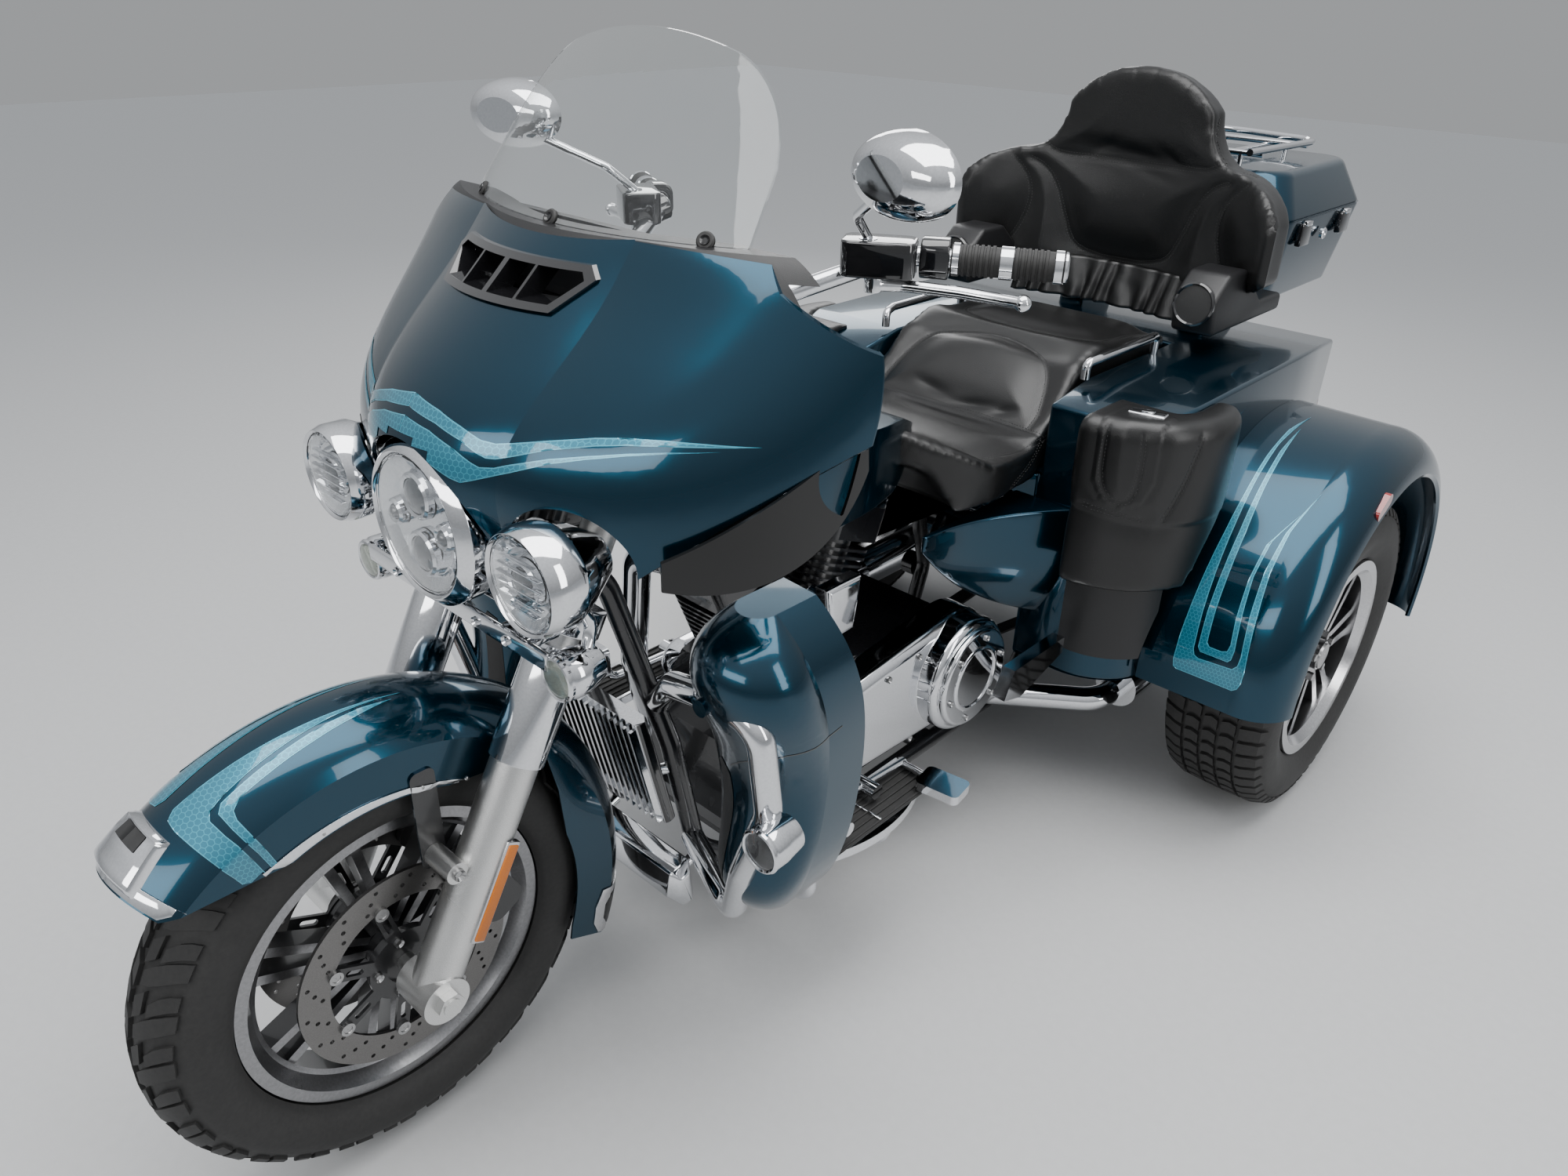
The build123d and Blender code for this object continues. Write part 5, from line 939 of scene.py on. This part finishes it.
lamp_dome, links, shader = finish(
    "lamp_dome", (0.93, 0.95, 0.96), (0.98, 0.98, 0.98), (0.0, 0.02), 0.0, 0.7, 40.0, 0.0)
shader.inputs["Transmission Weight"].default_value = 1.0
shader.inputs["IOR"].default_value = 1.12
shader.inputs["Coat Roughness"].default_value = 0.02
dress(lamp_dome, "lamp_lenses")
reflector = finish(
    "reflector", (0.62, 0.63, 0.65), (0.86, 0.87, 0.88), (0.04, 0.12), 1.0, 0.0, 300.0, 0.02)[0]
# Projector lenses: opaque dark grey under a glossy coat. The dark grey is painted shade for the lamp's
# shaded inside, seen through clear glass.
projector_lens_shade = finish(
    "projector_lens_shade", (0.05, 0.055, 0.06), (0.16, 0.17, 0.18), (0.02, 0.05), 0.0, 1.0, 60.0, 0.0)[0]
glass, dishes, rings, projector_lenses = bmesh.new(), bmesh.new(), bmesh.new(), bmesh.new()
for x, r in ((0, 88.7), (212, 56.7), (-212, 56.7)):
    middle = (x, -874, 897)
    dome = [(15, 0), (13.5, 0.5 * r), (10, 0.8 * r), (5, r - 0.3), (-1, r - 0.3), (-1, r - 1.9),
            (3.8, r - 1.9), (8.6, 0.79 * r), (12, 0.5 * r), (13.4, 0)]
    turned(glass, dome, middle, forward, closed=False)
    dish = [(7, r - 2.4), (4, r - 4), (-4, 0.74 * r), (-7.2, 0.5 * r), (-7.2, 0)]
    turned(dishes, dish, middle, forward, 28, closed=False)
    cells = ((0, 0, 21),) if x else ((0, 37, 23), (0, -39, 23), (53, 0, 10), (-53, 0, 10))
    for across, rise, size in cells:
        spot = (x + across, -874, 897 + rise)
        ring = [(-6, size + 8), (2, size + 7), (5, size + 4), (3, size), (-6, size)]
        turned(rings, ring, spot, forward, 48)
        lens_profile = [(-6, size - 0.5), (2, size - 0.5), (5.5, 0.8 * size), (8, 0.45 * size), (8.8, 0)]
        turned(projector_lenses, lens_profile, spot, forward, 40, closed=False)
    for rise in (-30, -18, -6, 6, 18, 30) if x else ():
        reach = sqrt(42 ** 2 - rise * rise)
        slab(rings, (x - reach, -883, 896 + rise), (x + reach, -876, 898 + rise), 0.5)
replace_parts(put("lamp_dome", glass, lamp_dome, "steering"), "lamp_lenses")
put("lamp_reflectors", dishes, reflector, "steering", 4.0)
put("lamp_rings", rings, chrome, "steering")
put("projector_lenses_shaded", projector_lenses, projector_lens_shade, "steering")

# Chrome bar under the headlamp: it joins the lamps and is bolted to the fork's lower clamp.
# A flat pressed bar with two ears bent back, held by four round bolts.
bar, bolts = bmesh.new(), bmesh.new()
slab(bar, (-202, -850, 764), (202, -841, 790), 4.0)
for side in (-1, 1):
    low, high = sorted((side * 96, side * 152))
    slab(bar, (low, -846, 768), (high, -790, 786), 4.0)
    for x in (60, 124):
        bolt(bolts, (side * x, -849, 777), forward, 7, 5)
put("lamp_bar", bar, chrome, "steering")
put("lamp_bar_bolts", bolts, chrome, "steering")

# Turn signals and the guard's two lamps: clear lenses in rolled chrome rims.
# One pair hangs under the fog lamps and turns with the fork, the other is fixed to the guard.
signal_glass, links, shader = finish(
    "signal_glass", (0.62, 0.66, 0.60), (0.74, 0.78, 0.70), (0.02, 0.06), 0.0, 0.6, 200.0, 0.0)
shader.inputs["Transmission Weight"].default_value = 0.8
shader.inputs["IOR"].default_value = 1.3
glass, rings = bmesh.new(), bmesh.new()
lit, ringed = bmesh.new(), bmesh.new()
for side in (-1, 1):
    for lens, rim, spot, size in ((glass, rings, (side * 213, -842, 759), 26.0),
                                  (lit, ringed, (side * 400, -690, 518), 28.0)):
        dome = [(0.2, 0), (0.2, size - 1), (3, size - 2), (6.5, 0.7 * size), (8, 0.35 * size), (8.4, 0)]
        turned(lens, dome, spot, forward, 48, closed=False)
        roll = [(-3, size + 1.2), (-3, size + 3.4), (1, size + 4), (4, size + 2.4), (5, size),
                (3.6, size - 2), (0.2, size - 2)]
        turned(rim, roll, spot, forward, 48)
put("signal_lenses", glass, signal_glass, "steering")
put("signal_rims", rings, chrome, "steering")
put("guard_lamp_lenses", lit, lamp_dome, "chassis")
put("guard_lamp_rims", ringed, chrome, "chassis")

# Front fork: satin sliders pitted by weather, amber reflectors in pale frames, socket bolts.
# Each reflector's frame is fixed along its slider's outer side, at the fork's own lean.
pitted = finish(
    "pitted_alloy", (0.50, 0.50, 0.49), (0.78, 0.78, 0.77), (0.2, 0.42), 1.0, 0.0, 900.0, 0.3)[0]
dress(pitted, "fork_legs")
amber = finish(
    "amber", (0.52, 0.12, 0.002), (0.70, 0.20, 0.004), (0.20, 0.30), 0.0, 0.3, 900.0, 0.25)[0]
fork_angle = 0.5105         # radians that the fork leans back
frames, glow, bolts = bmesh.new(), bmesh.new(), bmesh.new()
lean = Matrix.Rotation(-fork_angle, 4, "X")
for side in (-1, 1):
    leg = Matrix.Translation((side * 0.125, -1.015, 0.320)) @ lean
    low, high = sorted((side * 24, side * 35))
    slab(frames, (low, 4, 82), (high, 25, 226), 2.0, leg)
    low, high = sorted((side * 33, side * 37.5))
    slab(glow, (low, 7, 86), (high, 22, 222), 1.4, leg)
    bolt(bolts, (side * 140, -965.5, 492.7), (side, 0, 0), 8.5, 7)
put("fork_reflector_frames", frames, bright_alloy, "steering")
put("fork_reflectors", glow, amber, "steering")
put("fork_bolts", bolts, screw_steel, "steering")

# Front fender trim: a bright lip along the lower edges, a chrome tip and a framed guard at the tail.
# Pressed and riveted over the paint, so they follow the fender's form.
dress_parts("front_fender", (body_paint, pocket_black),
            lambda place, normal: 1 if abs(place.x) > 86 else 0)
dark_mesh = finish(
    "dark_mesh", (0.006, 0.006, 0.006), (0.045, 0.045, 0.045), (0.35, 0.6), 0.2, 0.0, 1100.0, 0.6)[0]


def band(path, width):
    """The outline of a strip of even width along a path of plan coordinates."""
    near, far = [], []
    for i, (u, v) in enumerate(path):
        a, b = path[max(i - 1, 0)], path[min(i + 1, len(path) - 1)]
        step = Vector((b[0] - a[0], b[1] - a[1])).normalized() * width / 2
        near.append((u - step.y, v + step.x))
        far.append((u + step.y, v - step.x))
    return near + far[::-1]


def thick(piece, depth, turn=0.0004):
    """Gives a laid sheet a thickness with rounded edges."""
    cover = piece.modifiers.new("thick", "SOLIDIFY")
    cover.thickness = depth
    cover.offset = 0.0
    rounding = piece.modifiers.new("edge", "BEVEL")
    rounding.width = turn
    rounding.segments = 2


fender_points = [v.co - fender_centre for v in nodes["front_fender"].data.vertices]
angles = [degrees(atan2(p.z, -p.y)) % 360 for p in fender_points if hypot(p.y, p.z) > 0.2]
crown_steps = (0.002, 0.007)            # metres of the crown in one degree, for laid trim
nose, tail = min(angles) + 0.4, max(angles) - 0.5
lip = [(98, nose + 4), (98, nose + 70), (95.5, nose + 70), (92, nose + 45), (88, nose + 18),
       (82, nose + 8), (60, nose + 3.0), (0, nose + 2.2), (0, nose), (88, nose), (95, nose + 1.4)]
thick(lay("fender_lip", lip, drop_crown, crown_steps, "steering", (6.0, 2.0), chrome, 0.0012), 0.0016)
tip = bmesh.new()
bmesh.ops.create_grid(tip, x_segments=24, y_segments=18, size=1.0)
for vert in tip.verts:
    s, t = vert.co.x, vert.co.y
    swell = min(1.0, (1 - abs(s)) * 5.0, (1 - abs(t)) * 3.4)
    spot, normal, outward = drop_crown(27 * s * (1 - 0.12 * t), nose + 5.4 + 5.0 * t)
    rise = 0.013 * sin(swell * pi / 2) - 0.001 - 0.003 * max(t, 0) * (swell > 0.98)
    vert.co = spot + outward * rise
put("fender_tip", tip, chrome, "steering")
plate = [(0, nose + 6.2), (13, nose + 6.2), (12, nose + 9.0), (0, nose + 9.0)]
tip_tree = BVHTree.FromObject(bpy.data.objects["fender_tip"], bpy.context.evaluated_depsgraph_get())


def drop_tip(u, v):
    """Onto the fender's chrome tip, in the same degrees."""
    return drop_crown(u, v, tip_tree, 0.4)


lay("fender_tip_grip", plate, drop_tip, crown_steps, "steering", (6.0, 1.0), dark_mesh, 0.0008)
frame_out = [(0, tail), (64, tail), (72, tail - 3), (74, tail - 8), (68, tail - 13), (0, tail - 13)]
frame_in = [(0, tail - 2), (56, tail - 2), (62, tail - 4), (63, tail - 8), (58, tail - 10.6),
            (0, tail - 10.6)]
skirt_frame = lay("skirt_frame", frame_out, drop_crown, crown_steps, "steering", (6.0, 2.0),
                  bright_alloy, 0.0012)
thick(skirt_frame, 0.002)
lay("skirt_mesh", frame_in, drop_crown, crown_steps, "steering", (6.0, 2.0), dark_mesh, 0.0026)
rivets = bmesh.new()
for side in (-1, 1):
    for v in (nose + 6, nose + 30, nose + 55, nose + 68):
        spot, normal, outward = drop_crown(95, v)
        if spot is not None:
            turned(rivets, [(-1, 3.2), (1.4, 3.0), (2.4, 1.6), (2.7, 0)],
                   Vector((spot.x * side, spot.y, spot.z)) * 1000,
                   (side * normal.x, normal.y, normal.z), 16, closed=False)
put("fender_rivets", rivets, screw_steel, "steering")

# Fairing front: the glossy black vent, and the windshield's screws on rubber washers.
# Three screws hold the sheet's lower edge, square to its bend.
gloss_black = finish(
    "gloss_black", (0.004, 0.004, 0.005), (0.012, 0.012, 0.013), (0.05, 0.12), 0.0, 1.0, 300.0, 0.01)[0]
dress(gloss_black, "fairing_vent")
bend = 480                  # millimetres, the radius of the windshield's lower edge
washers, screws = bmesh.new(), bmesh.new()
for x in (-215, 0, 215):
    out = Vector((x / bend, -sqrt(1 - (x / bend) ** 2), 0.6)).normalized()
    spot = Vector((x, -652.4 + bend - sqrt(bend ** 2 - x * x), 1227))
    turned(washers, [(-2, 11), (1.5, 11), (3.5, 9), (3.5, 6), (-2, 6)], spot, out, 32)
    bolt(screws, spot + out * 1.0, out, 6.0, 4.0)
put("windshield_washers", washers, rubber, "steering")
put("windshield_screws", screws, pocket_black, "steering")

# Lower fairings: moulded boxes clamped to the engine guard, painted in front and black behind.
# A dark seam runs over each shoulder, and a strip of mesh closes the air vent.
dress_parts("lower_fairings", (body_paint, black_plastic),
            lambda place, normal: 1 if normal.y > 0.55 else 0)
lower_tree = cast_tree("lower_fairings")


def drop_inner(u, v):
    """Onto a lower fairing's inner face: u across the view in millimetres, v the height."""
    aim = Vector((0.6, 0.8, 0.0))
    start = Vector((0.8, -0.6, 0.0)) * (u / 1000) + Vector((0, 0, v / 1000)) - aim * 0.9
    hit, normal, index, far = lower_tree.ray_cast(start, aim)
    return hit, normal, -aim


def drop_outer(u, v):
    """Onto a lower fairing from the front and outside: u across the view, v the height."""
    aim = Vector((-0.5, 0.866, 0.0))
    start = Vector((0.866, 0.5, 0.0)) * (u / 1000) + Vector((0, 0, v / 1000)) - aim * 1.6
    hit, normal, index, far = lower_tree.ray_cast(start, aim)
    return hit, normal, -aim


vent_strip = [(606, 356), (614, 400), (612, 552), (600, 570), (584, 556), (582, 400), (590, 356)]
lay("lower_fairing_vents", vent_strip, drop_inner, (0.001, 0.001), "chassis", (6.0, 6.0), dark_mesh,
    0.0008)
seam = band([(-64, 572), (-45, 597), (-31, 608), (0, 622), (20, 629), (50, 629), (66, 633),
             (76, 636)], 1.8)
lay("lower_fairing_seams", seam, drop_outer, (0.001, 0.001), "chassis", (4.0, 40.0), pocket_black,
    0.0005)

# Rounded mouldings: painted, plated and plastic pieces whose hard edges are eased over.
# They are moulded, cast or pressed, so each is the CAD form with its sharp edges rolled.


def rounded(name, width, body, material, sharp=38.0):
    """A CAD node's form with its hard edges rounded over."""
    bm = bmesh.new()
    bm.from_mesh(nodes[name].data)
    bmesh.ops.remove_doubles(bm, verts=bm.verts[:], dist=0.00004)
    bmesh.ops.dissolve_limit(bm, angle_limit=radians(0.6), verts=bm.verts[:], edges=bm.edges[:])
    edges = [e for e in bm.edges if len(e.link_faces) == 2 and e.calc_face_angle(0.0) > radians(sharp)
             and e.calc_length() > 0.0015]
    bmesh.ops.bevel(bm, geom=edges, offset=width / 1000, segments=3, profile=0.5, affect="EDGES",
                    material=-1, clamp_overlap=False)
    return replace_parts(put(name + "_rounded", bm, material, body), name)


# A replaced node has no mesh to cast at, so the trees that later sections need are made first.
console_tree = cast_tree("tank_console")
primary_tree = cast_tree("primary_cover")
rocker_tree = cast_tree("rocker_covers")
for name, width, body, material in (
        ("rear_body", 7.0, "chassis", body_paint), ("speaker_pods", 9.0, "chassis", black_plastic),
        ("topbox_tub", 5.0, "chassis", body_paint), ("hand_controls", 3.0, "steering", gloss_black),
        ("tank_console", 3.0, "chassis", gloss_black), ("topbox_lid", 6.0, "lid", body_paint),
        ("lamp_shells", 0.8, "steering", chrome), ("fork_covers", 1.0, "steering", chrome),
        ("chin_cover", 4.0, "chassis", chrome), ("primary_cover", 2.0, "chassis", chrome),
        ("engine_guard", 0.5, "chassis", chrome), ("rocker_covers", 2.0, "chassis", chrome),
        ("engine_covers", 2.0, "chassis", chrome), ("fuel_tank", 1.0, "chassis", body_paint),
        ("levers", 1.5, "steering", reflector), ("triple_clamps", 2.0, "steering", chrome),
        ("side_panels", 4.0, "chassis", body_paint)):
    rounded(name, width, body, material)

# Engine and oil cooler: bright corrugated fins, and polished covers held by socket bolts.
# The bolts follow the clutch cover's ring, the primary cover's rim and the air cleaner's plate.
dress_parts("oil_cooler", (reflector, gloss_black),
            lambda place, normal: 0 if abs(place.x) < 108 else 1)
left, right = (1, 0, 0), (-1, 0, 0)
clutch = (51, 358)                      # centres, along and up
air_cleaner = (-250, 585)


def drop_left(y, z):
    """Onto the primary cover from the left at a distance along and a height, in millimetres."""
    return primary_tree.ray_cast(Vector((0.9, y / 1000, z / 1000)), Vector((-1.0, 0.0, 0.0)))[0]


bolts, rings = bmesh.new(), bmesh.new()
for index in range(6):
    angle = 2 * pi * (index + 0.25) / 6
    spot = drop_left(clutch[0] + 80 * cos(angle), clutch[1] + 80 * sin(angle))
    if spot is not None:
        bolt(bolts, spot * 1000, left, 6, 4)
for y, z in ((-65, 433), (-150, 424), (-235, 404), (-300, 360), (-300, 290), (-230, 244), (-140, 232),
             (-60, 250)):
    spot = drop_left(y, z)
    if spot is not None and spot.x > 0.12:
        bolt(bolts, spot * 1000, left, 6.5, 5)
turned(rings, [(-3, 66), (2, 66), (4, 63), (4, 58), (1.5, 56), (-3, 56)], (229, *clutch), left, 72)
turned(rings, [(-1, 74), (3, 74), (5, 71), (5, 66), (2, 64), (-1, 64)], (-192, *air_cleaner), right, 72)
bolt(bolts, (-191, *air_cleaner), right, 12, 8)
for index in range(3):
    angle = 2 * pi * (index + 0.25) / 3
    spot = (-191, air_cleaner[0] + 52 * cos(angle), air_cleaner[1] + 52 * sin(angle))
    bolt(bolts, spot, right, 6, 4)
put("engine_bolts", bolts, screw_steel, "chassis")
put("engine_rings", rings, chrome, "chassis")
sockets = bmesh.new()
crank = Vector((0, -250, 345))
for lean_angle in (radians(-22.5), radians(22.5)):
    up = Vector((0, sin(lean_angle), cos(lean_angle)))
    flat = Vector((0, cos(lean_angle), -sin(lean_angle)))
    for x in (-52, 52):
        for along in (-58, 58):
            start = crank + Vector((x, 0, 0)) + flat * along + up * 520
            hit, normal, index, far = rocker_tree.ray_cast(start / 1000, -up)
            if hit is not None:
                bolt(sockets, hit * 1000, up, 6, 6)
put("rocker_bolts", sockets, screw_steel, "chassis")

# Footboards and pedals: black ribbed rubber set in chrome borders.
# The pads are moulded and pressed into the boards, with three bright strips across them.
pads, edges = bmesh.new(), bmesh.new()
for side in (-1, 1):
    low, high = sorted((side * 245, side * 326))
    slab(pads, (low, -470, 304), (high, -195, 308.5), 1.5)
    for index in range(6):
        across = 252 + index * 13.6
        a, b = sorted((side * across, side * (across + 4)))
        slab(pads, (a, -460, 308), (b, -205, 311.5), 1.2)
    for y in (-466, -334, -202):
        slab(edges, (low + 3, y - 2, 308), (high - 3, y + 2, 312.5), 1.0)
    low, high = (338.5, 341.5) if side > 0 else (-352.5, -333.5)
    for index in range(9):
        slab(pads, (low, index * 8 - 3, 392), (high, index * 8 + 1, 446), 1.0)
put("footboard_rubber", pads, rubber, "chassis")
put("footboard_strips", edges, chrome, "chassis")

# Grips and mirrors: ribbed rubber with chrome bands and turned end caps, and silvered glass.
# The ribs leave room for each grip's middle band.
ribs, bands = bmesh.new(), bmesh.new()
for side in (-1, 1):
    root, tip = Vector((side * 232, -272, 1168)), Vector((side * 412, -165, 1166))
    way = (tip - root).normalized()
    reach = (tip - root).length
    place = reach * 0.36 + 10
    while place < reach * 0.96 - 8:
        if not 0.62 < place / reach < 0.72:
            rib = [(-2.6, 18.6), (-1.8, 20.6), (1.8, 20.6), (2.6, 18.6)]
            turned(ribs, rib, root + way * place, way, 32)
        place += 7.5
    for middle, half in ((reach * 0.36, 5), (reach * 0.67, 9), (reach * 0.985, 6)):
        hoop = [(-half, 18.7), (-half + 1, 21.2), (half - 1, 21.2), (half, 18.7)]
        turned(bands, hoop, root + way * middle, way, 40)
    end_cap = [(0, 20.4), (3.0, 20.0), (5.0, 17), (5.6, 12), (5.2, 0)]
    turned(bands, end_cap, root + way * reach * 1.02, way, 40, closed=False)
put("grip_ribs", ribs, rubber, "steering")
put("grip_bands", bands, chrome, "steering")
mirror_glass = finish(
    "mirror_glass", (0.50, 0.52, 0.54), (0.56, 0.58, 0.60), (0.01, 0.02), 1.0, 0.0, 20.0, 0.0)[0]
dress_parts("mirrors", (chrome, mirror_glass), lambda place, normal: 1 if normal.y > 0.9 else 0)

# Instruments: four blank dials in chrome rings on the fairing's inner side.
# Each is turned and set square to the moulded panel under it.
inner_tree = cast_tree("fairing_inner")
dial_face = finish(
    "dial_face", (0.004, 0.004, 0.005), (0.02, 0.02, 0.022), (0.1, 0.2), 0.0, 0.8, 900.0, 0.0)[0]
faces, rings = bmesh.new(), bmesh.new()
for x, z, size in ((-62, 1128, 44), (62, 1128, 44), (-158, 1128, 28), (158, 1128, 28)):
    hit, normal, index, far = inner_tree.ray_cast(Vector((x, -250, z)) / 1000, Vector((0, -1, 0)))
    if hit is None:
        continue
    if normal.y < 0:
        normal = -normal
    spot = hit * 1000
    ring = [(-4, size + 5), (5, size + 4), (8, size + 1), (5, size - 2), (-4, size - 1)]
    turned(rings, ring, spot, normal, 56)
    turned(faces, [(1, size - 1), (1.5, 2), (4, 3), (5, 0)], spot, normal, 56, closed=False)
put("dial_faces", faces, dial_face, "steering")
put("dial_rings", rings, chrome, "steering")

# Tank: a plated filler cap, low and turned from solid.
# It closes the filler in the middle of the tank's console.
cap = bmesh.new()
hit, normal, index, far = console_tree.ray_cast(Vector((0, -0.26, 1.4)), Vector((0, 0, -1)))
turned(cap, [(-2, 35), (3, 35), (5, 32), (5, 12), (7, 10), (7, 0)], hit * 1000, normal, 56,
       closed=False)
put("filler_cap", cap, chrome, "chassis")

# Speakers: dark woven mesh in glossy rims, in the pods on both sides of the backrest.
# The mesh is domed a little, and both lean back with the pods' faces.
cloth, rims = bmesh.new(), bmesh.new()
for side in (-1, 1):
    spot = (side * 274, 583, 962)
    turned(cloth, [(2.5, 35), (4, 22), (5, 0)], spot, (0, -1, 0.15), 48, closed=False)
    turned(rims, [(-6, 40), (3, 40), (6, 37), (3, 34), (-6, 34)], spot, (0, -1, 0.15), 48)
put("speaker_mesh", cloth, dark_mesh, "chassis")
put("speaker_rims", rims, gloss_black, "chassis")

# Top box: two black latches with chrome levers on its left side, and two plated key locks.
# The latches are riveted over the seam between the tub and the lid.
latches, hooks, lock = bmesh.new(), bmesh.new(), bmesh.new()
for y in (985, 1200):
    slab(latches, (295, y - 24, 1018), (309, y + 24, 1064), 4.0)
    slab(hooks, (297, y - 14, 1058), (312, y + 14, 1069), 3.0)
put("topbox_latches", latches, gloss_black, "chassis")
put("topbox_latch_levers", hooks, chrome, "chassis")
turned(lock, [(-2, 13), (5, 13), (7, 11), (7, 4), (5.5, 3.4), (5.5, 0)], (0, 862, 1010), forward, 40,
       closed=False)
turned(lock, [(-2, 12), (4, 12), (6, 10), (6, 4), (4.5, 3.4), (4.5, 0)], (302, 1092, 1030), left, 40,
       closed=False)
put("topbox_locks", lock, chrome, "chassis")

# Tail lamps: deep red lenses, moulded in one piece with their rounded corners.
# They are fixed to the rear wall from inside.
red_lens = finish(
    "red_lens", (0.20, 0.001, 0.001), (0.34, 0.004, 0.003), (0.08, 0.16), 0.0, 1.0, 500.0, 0.12)[0]
dress(red_lens, "tail_lamps")

# Trunk door: a chrome pull handle with a key lock, and four screws round the plate's blank place.
# All are screwed on and swing with the door.
backward = (0, 1, 0)
screws, trims = bmesh.new(), bmesh.new()
for x in (-73, 73):
    for z in (565, 635):
        bolt(screws, (x, 1203, z), backward, 5.5, 3)
put("plate_screws", screws, screw_steel, "door")
slab(trims, (-70, 1215, 697), (70, 1224, 715), 3.5)
slab(trims, (-60, 1220, 700), (60, 1227, 708), 2.5)
turned(trims, [(-2, 12), (3, 12), (5, 10), (5, 0)], (0, 1216, 668), backward, 40, closed=False)
put("door_handle", trims, chrome, "door")

# Rear reflectors: two long red blocks, moulded like the tail lamps' lenses.
# They are stuck to the body's rear wall, low on both sides of the door.
reflectors = bmesh.new()
for side in (-1, 1):
    low, high = sorted((side * 300, side * 345))
    slab(reflectors, (low, 1211.5, 440), (high, 1219, 462), 2.5)
put("rear_reflectors", reflectors, red_lens, "chassis")

# Mufflers: chrome tubes whose ends are open and black with soot inside.
# The two finishes are chosen face by face on the exhaust's own solid.


def muffler_part(place, normal):
    """1 inside a muffler's open end, 0 elsewhere on the exhaust."""
    return 1 if place.y > 955 and hypot(abs(place.x) - 345, place.z - 232) < 39.5 else 0


dress_parts("exhaust", (chrome, pocket_black), muffler_part)
